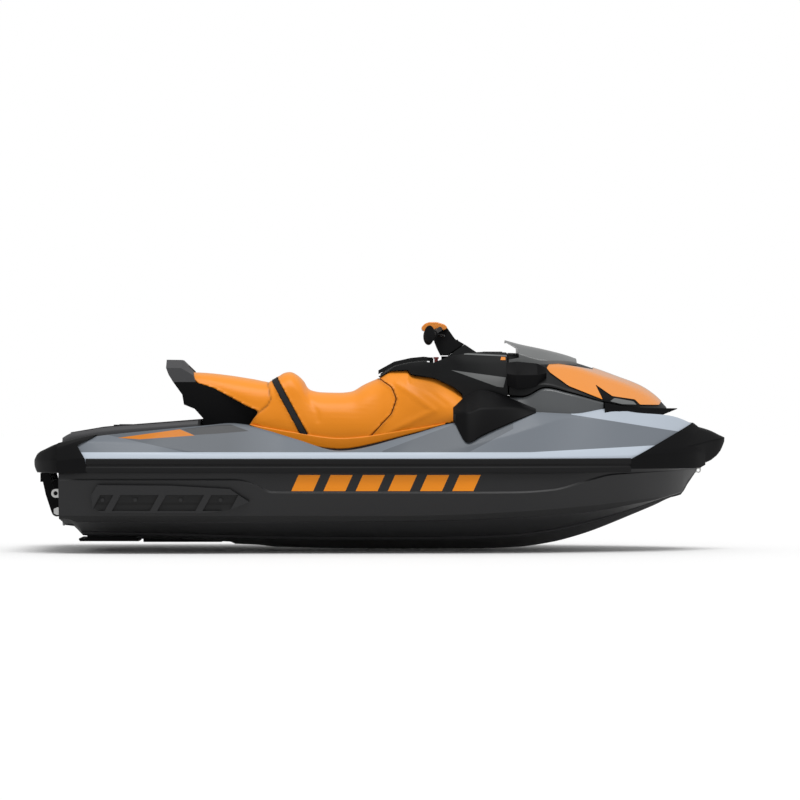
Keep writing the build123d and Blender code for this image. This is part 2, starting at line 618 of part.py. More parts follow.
def saddle_solid(grow=0.0):
    """Both seats and the knee cover as one padded form, before it is split."""
    sections = []
    for x, top, crown, shoulder_y, shoulder_z, skirt in SADDLE:
        foot = at(DECK, x)[-1] + FIT
        half = [(0, foot), (skirt + grow, foot), (skirt + grow, foot + SKIRT_BAND), (shoulder_y + grow, shoulder_z + grow),
                (crown + grow / 2, top + grow), (0, top + SADDLE_CROWN + grow)]
        sections.append(across(x, half))
    return loft(sections)


def strap_x(z):
    (x_top, z_top), (x_low, z_low) = STRAP_AT
    return x_top + (z - z_top) * (x_low - x_top) / (z_low - z_top)


def aft_of(line, reach=-3000.0):
    """A slab of everything aft of a side line that is given from the top down."""
    return slab([(reach, line[0][1]), *line, (reach, line[-1][1])])


def make_saddle_pieces():
    """Passenger seat, driver's seat, strap and knee cover, cut from one form along their seams."""
    saddle = saddle_solid()
    strap_rear = aft_of([(strap_x(z) - STRAP_HALF, z) for z in (750, 200)])
    strap_front = aft_of([(strap_x(z) + STRAP_HALF, z) for z in (750, 200)])
    band = minus(common(saddle, minus(strap_front, strap_rear)), saddle_solid(-STRAP_THICK))
    under = slab([(-3000, 100), (-3000, 760), (-940, 760), *REAR_SEAT_UNDER, (-641, 100)])
    passenger = minus(common(saddle, strap_rear), under)
    to_knee = aft_of([(x - SEAM_GAP / 2, z) for x, z in KNEE_SEAM])
    from_knee = aft_of([(x + SEAM_GAP / 2, z) for x, z in KNEE_SEAM])
    driver = minus(common(saddle, to_knee), strap_rear, band)
    knee = minus(saddle, from_knee, glove_room())
    return [main_solid(shape) for shape in (passenger, driver, band, knee)]


def make_support(deck_outer, platform):
    """Black carrier below the rear seat, wider at the top."""
    outline = [*REAR_SEAT_UNDER[1:], *SUPPORT_UNDER, (-903, 583)]
    low, high = (300.0, SUPPORT_HALF[0]), (600.0, SUPPORT_HALF[1])
    drafted = loft([[(x, y, z) for x, y in ((-1100, -w), (-560, -w), (-560, w), (-1100, w))] for z, w in (low, high)])
    return main_solid(minus(common(slab(outline), drafted), deck_outer, platform))


def make_grab_handle(seat):
    """The grab handle behind the rear seat, with a gap for the hand."""
    stations = [(-HANDLE_HALF, HANDLE_DROP), (-HANDLE_SHOULDER, 0), (HANDLE_SHOULDER, 0), (HANDLE_HALF, HANDLE_DROP)]
    base = HANDLE[-2][1]
    rise = HANDLE[0][1] - base
    sections = [[(x, y, z - drop * (z - base) / rise) for x, z in HANDLE] for y, drop in stations]
    half, low, high = HAND_GAP
    return main_solid(minus(loft(sections), box(-1200, -800, -half, half, low, high), seat))


def glove_room():
    x_from, x_to, half, bottom, rim = GLOVE
    return box(x_from - FIT, x_to + FIT, -half - FIT, half + FIT, bottom - FIT, rim + 100)


def along_steer(s, r=0.0):
    """A point (x, z) at distance s along the steering axis and r in front of it."""
    lean = radians(TILT)
    return STEER[0] - s * sin(lean) + r * cos(lean), STEER[1] + s * cos(lean) + r * sin(lean)


def steer_rod(s_from, s_to, radius):
    (x0, z0), (x1, z1) = along_steer(s_from), along_steer(s_to)
    return rod((x0, 0, z0), (x1, 0, z1), radius)


def make_console(deck_outer):
    """The console between the knees, from the glove box to the gauge."""
    sections = []
    for x, top, waist, foot in CONSOLE_WIDTHS:
        shoulder_z = at([(-24, 606), (134, 650), (384, 690), (598, 690)], x)[1]
        half = [(0, 290), (foot, 290), (waist, 520), (waist, 590), (top + CONSOLE_SHOULDER, shoulder_z), (top, 735), (0, 735)]
        sections.append(across(x, half))
    x_from, x_to, half, floor, top = GAUGE
    gauge_pocket = box(x_from - FIT, x_to + FIT, -half - FIT, half + FIT, floor - FIT, top + 40)
    well = [steer_rod(POST_WELL_FLOOR, 120, POST_WELL_R), steer_rod(POST_FROM - 1, 0, POST_R + BEARING_GAP)]
    body = common(loft(sections), slab(CONSOLE_OUTLINE))
    return main_solid(minus(body, saddle_solid(), deck_outer, glove_room(), gauge_pocket, well))


def make_glove_box():
    x_from, x_to, half, bottom, rim = GLOVE
    w = GLOVE_WALL
    return main_solid(minus(box(x_from, x_to, -half, half, bottom, rim),
                            box(x_from + w, x_to - w, -half + w, half - w, bottom + w, rim + 50)))


def make_glove_lid():
    """The padded lid, with its tongue, knuckle and pin at the front."""
    outline = LID_UNDER + [(x, z + LID_RISE) for x, z in reversed(LID_UNDER)]
    taper = loft([[(x, y, z) for y, z in ((-w, 500), (w, 500), (w, 800), (-w, 800))]
                  for x, w in zip((-40, LID_MAIN_END), LID_HALF)])
    x, z = LID_HINGE
    tongue = common(slab(outline, LID_TONGUE_HALF), box(LID_MAIN_END - 10, x, -100, 100, 600, 760))
    knuckle = pin(x, -LID_TONGUE_HALF, LID_TONGUE_HALF, z, LID_KNUCKLE_R)
    reach = LID_TONGUE_HALF + SWING + LID_LUG
    return main_solid(plus(common(slab(outline), taper), tongue, knuckle, pin(x, -reach, reach, z, LID_PIN_R)))


def make_lid_lugs(console):
    """The two lugs on the console that hold the lid's pin."""
    x, z = LID_HINGE
    y = LID_TONGUE_HALF + SWING
    r = LID_KNUCKLE_R + 1
    lug = plate([(x - r, z - 30), (x - r, z), (x - r / 2, z + r), (x + r / 2, z + r), (x + r, z), (x + r, z - 30)], y, y + LID_LUG)
    lug = minus(lug, pin(x, y - 1, y + LID_LUG + 1, z, LID_PIN_R + PIN_GAP), console)
    return both_sides(main_solid(lug))


def hood_solid(grow=0.0, rows=HOOD, drop=0.0):
    """Everything inside the hatch's outer surface moved outwards by grow, with its foot lowered by drop."""
    sections = []
    for row in rows:
        pairs = [(row[i], row[i + 1]) for i in range(2, len(row), 2)]
        line = [*reversed(pairs), (0, row[1]), *((-y, z) for y, z in pairs)]
        line = offset_line(line, grow) if grow else line
        if drop:
            reach, foot = row[-2] + grow, row[-1] - drop
            line = [(reach, foot), (reach, line[0][1]), *line[1:-1], (-reach, line[-1][1]), (-reach, foot)]
        sections.append([(row[0], y, z) for y, z in line])
    return loft(sections)


def make_hood():
    """The front hatch: a shell, open below, with the hinge tongue and pin at its front end."""
    hollow = hood_solid(-HOOD_WALL, clip(HOOD, HOOD[0][0] + HOOD_WALL, HOOD_HOLLOW_END), 80)
    x, z = HINGE
    tongue = box(HOOD[-1][0] - 16, x, -TONGUE_HALF, TONGUE_HALF, z - HINGE_KNUCKLE_R + 2, z + HINGE_KNUCKLE_R - 2)
    reach = TONGUE_HALF + SWING + HINGE_LUG
    knuckle = pin(x, -TONGUE_HALF, TONGUE_HALF, z, HINGE_KNUCKLE_R)
    return main_solid(plus(minus(hood_solid(), hollow), tongue, knuckle, pin(x, -reach, reach, z, HINGE_PIN_R)))


def hood_skin(outline, thick, lift=0.0):
    """A thin skin on the hatch within a side outline."""
    return minus(common(hood_solid(thick + lift), slab(outline)), hood_solid(FIT))


def make_hood_hinge(deck_outer):
    """The bracket on the foredeck that carries the hatch's pin."""
    x, z = HINGE
    y = TONGUE_HALF + SWING
    r = HINGE_KNUCKLE_R + 1
    lug = [(x - r, 380), (x - r, z), (x - r / 2, z + r), (x + r / 2, z + r), (x + r, z), (x + r, 380)]
    base = box(x - r, x + r, -y - HINGE_LUG, y + HINGE_LUG, 380, z - HINGE_KNUCKLE_R - SWING)
    bracket = plus(plate(lug, y, y + HINGE_LUG), plate(lug, -y - HINGE_LUG, -y), base)
    return main_solid(minus(bracket, pin(x, -WIDE, WIDE, z, HINGE_PIN_R + PIN_GAP), deck_outer))


def make_coaming(deck_outer, console):
    """Grey side panels below the hatch, joined across behind the storage bin."""
    sections = []
    for x, foot, top, top_z in COAMING:
        sections.append(across(x, [(0, 400), (foot, 400), (top, top_z - 8), (top - 10, top_z), (0, top_z)]))
    x_from, x_to = BIN[0] - BIN_FLANGE - 4, COAMING[-1][0] + 10
    inside = box(x_from, x_to, -COAMING_INNER, COAMING_INNER, 300, 700)
    return main_solid(minus(loft(sections), inside, deck_outer, console))


def make_lip(deck_outer, coaming):
    """The black lip round the hatch's front, open in the middle for the hinge."""
    sections = []
    for x, width, top, bottom in LIP:
        y = at(HOOD, x)[-2] + SWING + width
        sections.append(across(x, [(0, bottom), (y, bottom), (y - 8, top), (0, top)]))
    last = LIP[-1]
    sections.append(across(LIP_FRONT, [(0, last[3]), (LIP_FRONT_HALF, last[3]), (LIP_FRONT_HALF, last[2]), (0, last[2])]))
    walls = [(row[0], row[-2] + SWING) for row in clip(HOOD, LIP[0][0] - 40, HOOD[-1][0])]
    room = loft([[(x, -y, 200), (x, y, 200), (x, y, 600), (x, -y, 600)] for x, y in walls])
    end = at(HOOD, HOOD[-1][0])[-2] + SWING
    front_room = box(HOOD[-1][0] - 1, HINGE[0] + HINGE_KNUCKLE_R + SWING, -end, end, 300, 500)
    hinge_half = TONGUE_HALF + 2 * SWING + HINGE_LUG
    hinge_room = box(1300, HINGE[0] + HINGE_KNUCKLE_R + SWING, -hinge_half, hinge_half, 300, 500)
    return main_solid(minus(loft(sections), room, front_room, hinge_room, deck_outer, coaming))


def make_visor():
    """The dark wind visor on the hatch, undercut at its rear."""
    sections = []
    for x, crown, shoulder_y, shoulder_z, edge_y, edge_z in VISOR:
        sections.append(across(x, [(0, 600), (edge_y, 600), (edge_y, edge_z), (shoulder_y, shoulder_z), (0, crown)]))
    low = slab([(500, 500), (606, 500), (606, 690), (500, 690)])
    return main_solid(minus(loft(sections), hood_solid(FIT), slab(VISOR_UNDERCUT), low))


def make_mirror(hood_grown, visor):
    """The port mirror pod, recessed at the rear for its glass."""
    sections = []
    for x, inner, outer, bottom, top in MIRROR:
        mid = (bottom + top) / 2
        sections.append([(x, inner, bottom), (x, outer - 24, bottom), (x, outer, mid), (x, outer - 30, top), (x, inner, top)])
    x, _, outer, bottom, top = MIRROR[0]
    console_side = box(x - 1, HOOD[0][0] + FIT, 0, MIRROR_INNER, 400, 800)
    recess = box(x - 1, x + MIRROR_GLASS, MIRROR_INNER + MIRROR_RIM, outer - 24, bottom + MIRROR_RIM + 4, top - 4 * MIRROR_RIM)
    return main_solid(minus(loft(sections), hood_grown, visor, console_side, recess))


def make_mirror_glass():
    x, _, outer, bottom, top = MIRROR[0]
    glass = box(x, x + MIRROR_GLASS - FIT, MIRROR_INNER + MIRROR_RIM + FIT, outer - 24 - FIT,
                bottom + MIRROR_RIM + 4 + FIT, top - 4 * MIRROR_RIM - FIT)
    return both_sides(glass)


def make_fairing(*neighbours):
    """The port splash guard between console and deck edge."""
    sections = []
    for x, low_z, stand_off, mid_y, mid_z, up_y, up_z in FAIRING:
        low_y = deck_side(x, low_z) + stand_off
        floor = max(low_z - 30, 290)
        sections.append([(x, y, z) for y, z in ((low_y, low_z), (mid_y, mid_z), (up_y, up_z), (up_y - 30, floor),
                                                (low_y - 60, floor))])
    return main_solid(minus(loft(sections), *neighbours))


def make_bin():
    """The storage bin under the hatch: a drafted tub with a flange on the deck."""
    x_from, x_to, half, floor, top = BIN
    def tub(inset, bottom, high):
        low = [(x, y, bottom) for x, y in corners(inset + BIN_DRAFT)]
        rim = [(x, y, high) for x, y in corners(inset)]
        return loft([low, rim])
    def corners(inset):
        a, b, y = x_from + inset, x_to - inset, half - inset
        return [(a, -y), (b, -y), (b, y), (a, y)]
    flange = box(x_from - BIN_FLANGE, x_to + BIN_FLANGE, -half - BIN_FLANGE, half + BIN_FLANGE, top + FIT,
                 top + FIT + BIN_FLANGE_THICK)
    body = plus(tub(0, floor, top + FIT), flange)
    return main_solid(minus(body, tub(BIN_WALL, floor + BIN_WALL, top + 30)))


def pump_rod(x_from, x_to, radius, end_radius=None):
    return rod((x_from, 0, PUMP_Z), (x_to, 0, PUMP_Z), radius, end_radius)


def around_pump(solid, count, start=0.0):
    axis = Axis((0, 0, PUMP_Z), (1, 0, 0))
    return [solid.rotate(axis, start + i * 360 / count) for i in range(count)]


def make_pump():
    """The pump housing: bore, stator vanes and hub, venturi, and the lugs for nozzle and gate."""
    neck = VENTURI_R + VENTURI_WALL
    body = plus(pump_rod(VENTURI_FROM, PUMP_FRONT, PUMP_R), pump_rod(PUMP_FRONT - FLANGE_THICK, PUMP_FRONT, FLANGE_R),
                pump_rod(VENTURI_FROM, PUMP_REAR, PUMP_R, neck),
                pump_rod(PUMP_REAR, PUMP_REAR + REAR_FLANGE_THICK, REAR_FLANGE_R),
                box(PUMP_FRONT - FLANGE_THICK, PUMP_FRONT, -FOOT_HALF, FOOT_HALF, PUMP_Z - FLANGE_R, PUMP_Z - PUMP_R))
    for side in (1, -1):
        a, b = sorted((PUMP_Z + side * LUG_FROM, PUMP_Z + side * LUG_TO))
        lug = box(NOZZLE_PIVOT - EAR_HALF, PUMP_REAR + 4, -EAR_HALF, EAR_HALF, a, b)
        hole = rod((NOZZLE_PIVOT, 0, a - 1), (NOZZLE_PIVOT, 0, b + 1), PIVOT_R + PIN_GAP)
        y0, y1 = sorted((side * GATE_LUG_Y[0], side * GATE_LUG_Y[1]))
        gate_lug = box(PUMP_REAR, GATE_PIVOT + GATE_BOSS_R, y0, y1, PUMP_Z - GATE_BOSS_R, PUMP_Z + GATE_BOSS_R)
        body = plus(body, minus(lug, hole), gate_lug)
    body = minus(body, pump_rod(VENTURI_FROM, PUMP_FRONT + 1, BORE_R), pump_rod(VENTURI_FROM, PUMP_REAR, BORE_R, VENTURI_R),
                 pin(GATE_PIVOT, 84, 200, PUMP_Z, GATE_PIN_R + PIN_GAP), pin(GATE_PIVOT, -200, -84, PUMP_Z, GATE_PIN_R + PIN_GAP))
    vane = box(VANE_FROM, VANE_TO, -VANE_THICK / 2, VANE_THICK / 2, PUMP_Z + STATOR_HUB_R - 4, PUMP_Z + BORE_R + 2)
    hub = plus(pump_rod(VANE_FROM, VANE_TO + 6, STATOR_HUB_R), pump_rod(VANE_FROM, STATOR_TAIL, STATOR_HUB_R, STATOR_TAIL_R))
    seat = pump_rod(VANE_TO + 6 - SHAFT_SEAT, VANE_TO + 7, SHAFT_R + PIN_GAP)
    return main_solid(minus(plus(body, hub, *around_pump(vane, VANES)), seat))


def make_impeller():
    """Hub and twisted blades."""
    blade_r = BORE_R - TIP_GAP
    sections = []
    for step in range(BLADE_STEPS + 1):
        share = step / BLADE_STEPS
        x = IMPELLER_FROM + 3 + (IMPELLER_TO - IMPELLER_FROM - 6) * share
        turn = radians(BLADE_TWIST * share)
        corners = [(-BLADE_THICK / 2, HUB_R - 4), (BLADE_THICK / 2, HUB_R - 4), (BLADE_THICK / 2, blade_r), (-BLADE_THICK / 2, blade_r)]
        sections.append([(x, y * cos(turn) - r * sin(turn), PUMP_Z + y * sin(turn) + r * cos(turn)) for y, r in corners])
    blade = common(loft(sections), pump_rod(IMPELLER_FROM, IMPELLER_TO, blade_r))
    hub = pump_rod(IMPELLER_FROM, IMPELLER_TO, HUB_R)
    nose = pump_rod(IMPELLER_TO, IMPELLER_TO + 24, HUB_R, SHAFT_R + 2)
    whole = plus(hub, nose, *around_pump(blade, BLADES))
    return main_solid(minus(whole, pump_rod(IMPELLER_FROM - 1, IMPELLER_TO + 30, SHAFT_R)))


def make_ride_plate():
    """The plate that closes the pump tunnel below, with low ribs."""
    top = PUMP_Z - FLANGE_R
    half = TUNNEL_HALF - 2
    body = box(RIDE_PLATE_REAR, PUMP_FRONT, -half, half, top - RIDE_PLATE_THICK, top)
    ribs = [box(RIDE_PLATE_REAR, PUMP_FRONT, y - 5, y + 5, top - RIDE_PLATE_THICK - RIDE_PLATE_RIB, top - 2) for y in (-90, -30, 30, 90)]
    walls = [box(RIDE_PLATE_REAR + 40, PUMP_FRONT - FLANGE_THICK, y - 4, y + 4, top - 2, top + 22) for y in (-half + 4, half - 4)]
    return main_solid(plus(body, *ribs, *walls))


def make_grate():
    """Intake grate: long bars on two cross bars."""
    rear, front = PUMP_FRONT + 20, DUCT_FRONT - 60
    top = -176.0
    pitch = 2 * (DUCT_HALF - 14) / (GRATE_BARS - 1)
    bars = [box(rear, front, y - GRATE_BAR / 2, y + GRATE_BAR / 2, top - GRATE_HEIGHT, top)
            for y in (-DUCT_HALF + 14 + i * pitch for i in range(GRATE_BARS))]
    ends = [box(x, x + 14, -DUCT_HALF + FIT, DUCT_HALF - FIT, top - GRATE_HEIGHT + 3, top) for x in (rear, front - 14)]
    return main_solid(plus(*bars, *ends))


def make_nozzle():
    """Steering nozzle with ears, upright pivot pins and a steering arm."""
    wall = NOZZLE_WALL
    body = pump_rod(NOZZLE_FROM, NOZZLE_END, NOZZLE_MOUTH_R, NOZZLE_EXIT_R)
    bore = pump_rod(NOZZLE_FROM + 0.01, NOZZLE_END - 0.01, NOZZLE_MOUTH_R - wall, NOZZLE_EXIT_R - wall)
    extras = []
    for side in (1, -1):
        a, b = sorted((PUMP_Z + side * EAR_FROM, PUMP_Z + side * EAR_TO))
        extras.append(box(NOZZLE_FROM - 26, NOZZLE_PIVOT + EAR_HALF, -EAR_HALF, EAR_HALF, a, b))
        extras.append(rod((NOZZLE_PIVOT, 0, PUMP_Z + side * EAR_FROM), (NOZZLE_PIVOT, 0, PUMP_Z + side * LUG_TO), PIVOT_R))
    x_from, x_to, y_from, y_to = NOZZLE_ARM
    extras.append(box(x_from, x_to, y_from, y_to, PUMP_Z - 6, PUMP_Z + 6))
    extras.append(pump_rod(NOZZLE_END, NOZZLE_END + 8, NOZZLE_EXIT_R + 5))
    return main_solid(minus(plus(body, *extras), bore))


def gate_point(angle, radius):
    turn = radians(angle)
    return GATE_PIVOT - radius * cos(turn), PUMP_Z + radius * sin(turn)


def make_gate():
    """The reverse gate stowed above the nozzle: a curved shell, closed sides, and two arms to its pivot."""
    steps = 8
    angles = [GATE_FROM + (GATE_TO - GATE_FROM) * i / steps for i in range(steps + 1)]
    outer, inner = GATE_R + GATE_WALL, GATE_R
    shell = slab([gate_point(a, outer) for a in angles] + [gate_point(a, inner) for a in reversed(angles)], GATE_HALF)
    reach, thick = GATE_R - GATE_SIDE[0], GATE_SIDE_THICK
    rim = [gate_point(a, outer) for a in angles] + [gate_point(a, reach) for a in reversed(angles)]
    sides = [plate(rim, GATE_HALF - thick, GATE_HALF), plate(rim, -GATE_HALF, -GATE_HALF + thick)]
    arm = [gate_point(GATE_FROM + 14, inner + 2), gate_point(GATE_FROM + 40, inner + 2), gate_point(90, GATE_BOSS_R - 1),
           gate_point(0, GATE_BOSS_R - 1)]
    pieces = [shell, *sides]
    for side in (1, -1):
        a, b = sorted((side * GATE_ARM_Y, side * (GATE_ARM_Y + GATE_ARM_THICK)))
        pieces += [plate(arm, a, b), pin(GATE_PIVOT, a, b, PUMP_Z, GATE_BOSS_R)]
        c, d = sorted((side * 88, side * (GATE_ARM_Y + 1)))
        pieces.append(pin(GATE_PIVOT, c, d, PUMP_Z, GATE_PIN_R))
    return main_solid(plus(*pieces))


def make_step():
    """The boarding step, stowed: a ladder U of two arms and a ribbed tread."""
    x, z = STEP_HINGE
    y0, y1 = STEP_ARM_Y - STEP_ARM_THICK / 2, STEP_ARM_Y + STEP_ARM_THICK / 2
    x_from, x_to, bottom, top = TREAD
    tread = box(x_from, x_to, -y1, y1, bottom, top)
    wall = TREAD_WALL
    hollow = box(x_from + wall, x_to + 1, -y0, y0, bottom + wall, top - wall)
    ribs = [box(x_from, x_to, y - 4, y + 4, bottom, top) for y in (-120, -40, 40, 120)]
    pieces = [minus(tread, hollow), *ribs]
    for side in (1, -1):
        a, b = sorted((side * y0, side * y1))
        pieces += [plate(STEP_ARM_TOP, a, b), pin(x, a, b, z, STEP_BOSS_R)]
    return main_solid(minus(plus(*pieces), pin(x, -WIDE, WIDE, z, STEP_PIN_R + PIN_GAP)))


def make_step_brackets():
    """Brackets on the transom with the step's pins."""
    x, z = STEP_HINGE
    transom = HULL[0][0]
    r = BRACKET_R
    outline = [(transom - FIT, z - r), (x, z - r), (x - r * 0.8, z - r * 0.6), (x - r * 0.8, z + r * 0.6), (x, z + r), (transom - FIT, z + r + 10)]
    y_in, y_out = STEP_ARM_Y - STEP_ARM_THICK / 2 - BRACKET_GAP, STEP_ARM_Y + STEP_ARM_THICK / 2 + BRACKET_GAP
    pieces = [plate(outline, y_in - BRACKET_THICK, y_in), plate(outline, y_out, y_out + BRACKET_THICK),
              pin(x, y_in - BRACKET_THICK, y_out + BRACKET_THICK, z, STEP_PIN_R),
              box(transom - 6, transom - FIT, y_in - BRACKET_THICK - 12, y_out + BRACKET_THICK + 12, z + r, z + r + 26),
              box(transom - 6, transom - FIT, y_in - BRACKET_THICK, y_in, z - r, z + r + 10)]
    return both_sides(main_solid(plus(*pieces)))


def riser_body():
    """Boot and riser together, from the photo's outline, narrower at the top."""
    low, high = (700.0, RISER_HALF[0]), (866.0, RISER_HALF[1])
    drafted = loft([[(x, y, z) for x, y in ((200, -w), (500, -w), (500, w), (200, w))] for z, w in (low, high)])
    return common(slab(RISER), drafted)


def below_turn_plane(s):
    """Everything below a plane square to the steering axis."""
    (x0, z0), (x1, z1) = along_steer(s, -400), along_steer(s, 400)
    (x2, z2), (x3, z3) = along_steer(s - 400, 400), along_steer(s - 400, -400)
    return slab([(x0, z0), (x1, z1), (x2, z2), (x3, z3)])


def make_boot(console):
    """The fixed boot on the console below the turning riser."""
    boot = common(riser_body(), below_turn_plane(TURN_PLANE))
    return main_solid(minus(boot, console, steer_rod(POST_WELL_FLOOR, 200, POST_WELL_R)))


def bar_points(side):
    return [(x, side * y, z) for y, x, z in BAR_PATH]


def make_riser():
    """The turning riser on its post, clamped round the bar."""
    riser = minus(riser_body(), below_turn_plane(TURN_PLANE + SWING), box(200, 500, -200, 200, 600, RISER_FOOT))
    post = steer_rod(POST_FROM, POST_TO, POST_R)
    return main_solid(minus(plus(riser, post), *bar_rods(BAR_R + FIT)))


def bar_rods(radius):
    pieces = []
    for side in (1, -1):
        points = bar_points(side)
        for a, b in zip(points, points[1:]):
            pieces.append(rod(a, b, radius))
        pieces += [Solid.make_sphere(radius, Plane(p)) for p in points[:-1]]
    return pieces


def make_bar():
    return main_solid(plus(*bar_rods(BAR_R)))


def grip_line(side):
    """The unit direction of the bar's end, from the last bend outwards, and its end point."""
    a, b = (Vector(*p) for p in bar_points(side)[-2:])
    return (b - a).normalized(), b


def make_grips():
    """Two rubber grips with flanges and palm rests."""
    pieces = []
    for side in (1, -1):
        along, end = grip_line(side)
        length = BAR_PATH[-1][0] - GRIP_FROM
        start = end - along * length
        close = end + along * GRIP_FLANGE
        grip = plus(rod(start, close, GRIP_R), rod(start, start + along * GRIP_FLANGE, GRIP_FLANGE_R),
                    rod(end, close, GRIP_FLANGE_R))
        aft, reach, rise = PALM
        rest = []
        for y in (30, length - 6):
            centre = start + along * y
            half = reach * (0.8 if y == 30 else 1.0)
            rest.append([(centre.X + aft + dx * half, centre.Y, centre.Z + dz * rise)
                         for dx, dz in ((-1, -0.6), (0, -1), (1.3, -1), (1.3, 1), (0, 1), (-1, 0.4))])
        grip = plus(grip, loft(rest))
        pieces.append(main_solid(minus(grip, rod(start - along * 20, end, BAR_R + 0.2))))
    return Compound(pieces)


def make_lever():
    """The port lever in front of the grip, on a clamp round the bar."""
    along, end = grip_line(1)
    def spot(y, ahead):
        base = end - along * (BAR_PATH[-1][0] - y)
        return (base.X + ahead, base.Y, base.Z - 0.12 * ahead)
    clamp = rod(spot(LEVER_FROM + 4, 0), spot(LEVER_FROM + 20, 0), BAR_R + 9)
    path = [spot(LEVER_FROM + 12, 0), spot(LEVER_FROM + 22, LEVER_REACH * 0.7), spot(LEVER_FROM + 60, LEVER_REACH),
            spot(LEVER_TO, LEVER_REACH)]
    rods = [rod(a, b, LEVER_R) for a, b in zip(path, path[1:])]
    joints = [Solid.make_sphere(LEVER_R, Plane(p)) for p in path[1:]]
    return main_solid(minus(plus(clamp, *rods, *joints), *bar_rods(BAR_R + 0.2)))


def make_bar_pad():
    """The padded cover over the bar's middle."""
    x_from, x_to, half, bottom, top = CAP_PAD
    sections = []
    for y, inset in ((-half, 10), (-half * 0.55, 0), (half * 0.55, 0), (half, 10)):
        sections.append([(x_from + inset, y, bottom - 6), (x_from + inset, y, top - inset), (x_from + 14 + inset, y, top - inset * 0.7),
                         (x_to - 18 - inset, y, top - inset * 0.7), (x_to - inset, y, bottom - 4)])
    return main_solid(minus(loft(sections), riser_body(), *bar_rods(BAR_R + FIT)))


def eye(x, y, z, mount_x, hole_r=EYE_HOLE_R, radius=EYE_R, thick=EYE_THICK):
    """An eye plate that stands out behind a wall, bored across the craft."""
    y0, y1 = y - thick / 2, y + thick / 2
    web = box(x, mount_x, y0, y1, z - radius, z + radius)
    return minus(plus(pin(x, y0, y1, z, radius), web), pin(x, y0 - 1, y1 + 1, z, hole_r))


def make_stern_eyes():
    x, y, z = STERN_EYE
    wall = HULL[0][0] - FIT
    pad = box(wall - 5, wall, y - EYE_R, y + EYE_R, z - EYE_R - 8, z + EYE_R + 8)
    return both_sides(main_solid(plus(eye(x, y, z, wall), pad)))


def make_tow_eye():
    """A flat tow eye, bored upright, on an angle bracket in the stern cap's pocket."""
    x, z = TOW_EYE
    floor, half = TOW_POCKET[3], EYE_THICK / 2
    front = x + EYE_R + EYE_THICK
    ring = plus(rod((x, 0, z - half), (x, 0, z + half), EYE_R), box(x, front, -EYE_R, EYE_R, z - half, z + half))
    upright = box(front - 8, front, -EYE_R, EYE_R, floor + FIT, z + half)
    foot = box(front - 20, front, -EYE_R - 8, EYE_R + 8, floor + FIT, floor + 6)
    return main_solid(minus(plus(ring, upright, foot), rod((x, 0, z - 20), (x, 0, z + 20), EYE_HOLE_R)))


def make_bow_eye(hull_outer, bow_cap):
    x, z = BOW_EYE
    r = BOW_EYE_R
    web = [(x - 40, z + 20), (x - 40, z - 30), (x - r * 0.7, z - r * 0.7), (x, z - r), (x + r * 0.7, z - r * 0.7), (x + r, z), (x + r, z + 20)]
    half = EYE_THICK / 2
    return main_solid(minus(plate(web, -half, half), hull_outer, bow_cap, pin(x, -20, 20, z, BOW_HOLE_R)))


def make_plugs():
    x = HULL[0][0] - FIT
    plug = plus(rod((x - PLUG_OUT, PLUG_Y, PLUG_Z), (x, PLUG_Y, PLUG_Z), PLUG_R),
                box(x - PLUG_OUT - 5, x, PLUG_Y - 4, PLUG_Y + 4, PLUG_Z - 14, PLUG_Z + 14))
    return both_sides(plug)


def make_sponson(hull_outer):
    """The port sponson: a pointed plate on the hull side, pocketed between slanted ribs, with bolts."""
    (low_y, low_z), (high_y, high_z) = SPONSON_FACE
    face = loft([[(x, 480, low_z), (x, low_y, low_z), (x, high_y, high_z), (x, 480, high_z)] for x in (-1400, -600)])
    body = common(slab(SPONSON), face)
    x_from, x_to, z_from, z_to, lean, depth = POCKETS
    edges = [x_from - RIB_WIDTH / 2, *(RIB_FIRST + i * RIB_PITCH for i in range(RIBS)), x_to + RIB_WIDTH / 2]
    floor = loft([[(x, low_y - depth, low_z), (x, 700, low_z), (x, 700, high_z), (x, high_y - depth, high_z)] for x in (-1400, -600)])
    cuts, bolts = [], []
    for a, b in zip(edges, edges[1:]):
        a, b = a + RIB_WIDTH / 2, b - RIB_WIDTH / 2
        wide = [(a - lean / 2, z_from), (b - lean / 2, z_from), (b + lean / 2, z_to), (a + lean / 2, z_to)]
        cuts.append(common(slab(wide), floor))
        middle = (a + b) / 2
        bolts.append(pin(middle, 560, low_y - depth + 8 + BOLT_OUT, BOLT_Z, BOLT_R))
    body = minus(body, *cuts)
    return main_solid(minus(plus(body, *bolts), hull_outer))


def make_engine():
    x_from, x_to, half, bottom, top = ENGINE
    return box(x_from, x_to, -half, half, bottom, top)


def make_shaft():
    end = VANE_TO + 6 - SHAFT_SEAT + 2
    return pump_rod(end, ENGINE[0] - FIT, SHAFT_R)


def make_gauge():
    x_from, x_to, half, floor, top = GAUGE
    sections = [[(x, y, z) for y, z in ((-half, floor), (half, floor), (half, top - 3), (half - 8, top), (-half + 8, top), (-half, top - 3))]
                for x in (x_from, x_to)]
    return loft(sections)


def make_lanyard(console):
    x, y, radius, top = LANYARD
    post = plus(rod((x, y, 640), (x, y, top - 8), radius), rod((x, y, top - 8), (x, y, top), radius + 4))
    return main_solid(minus(post, console))


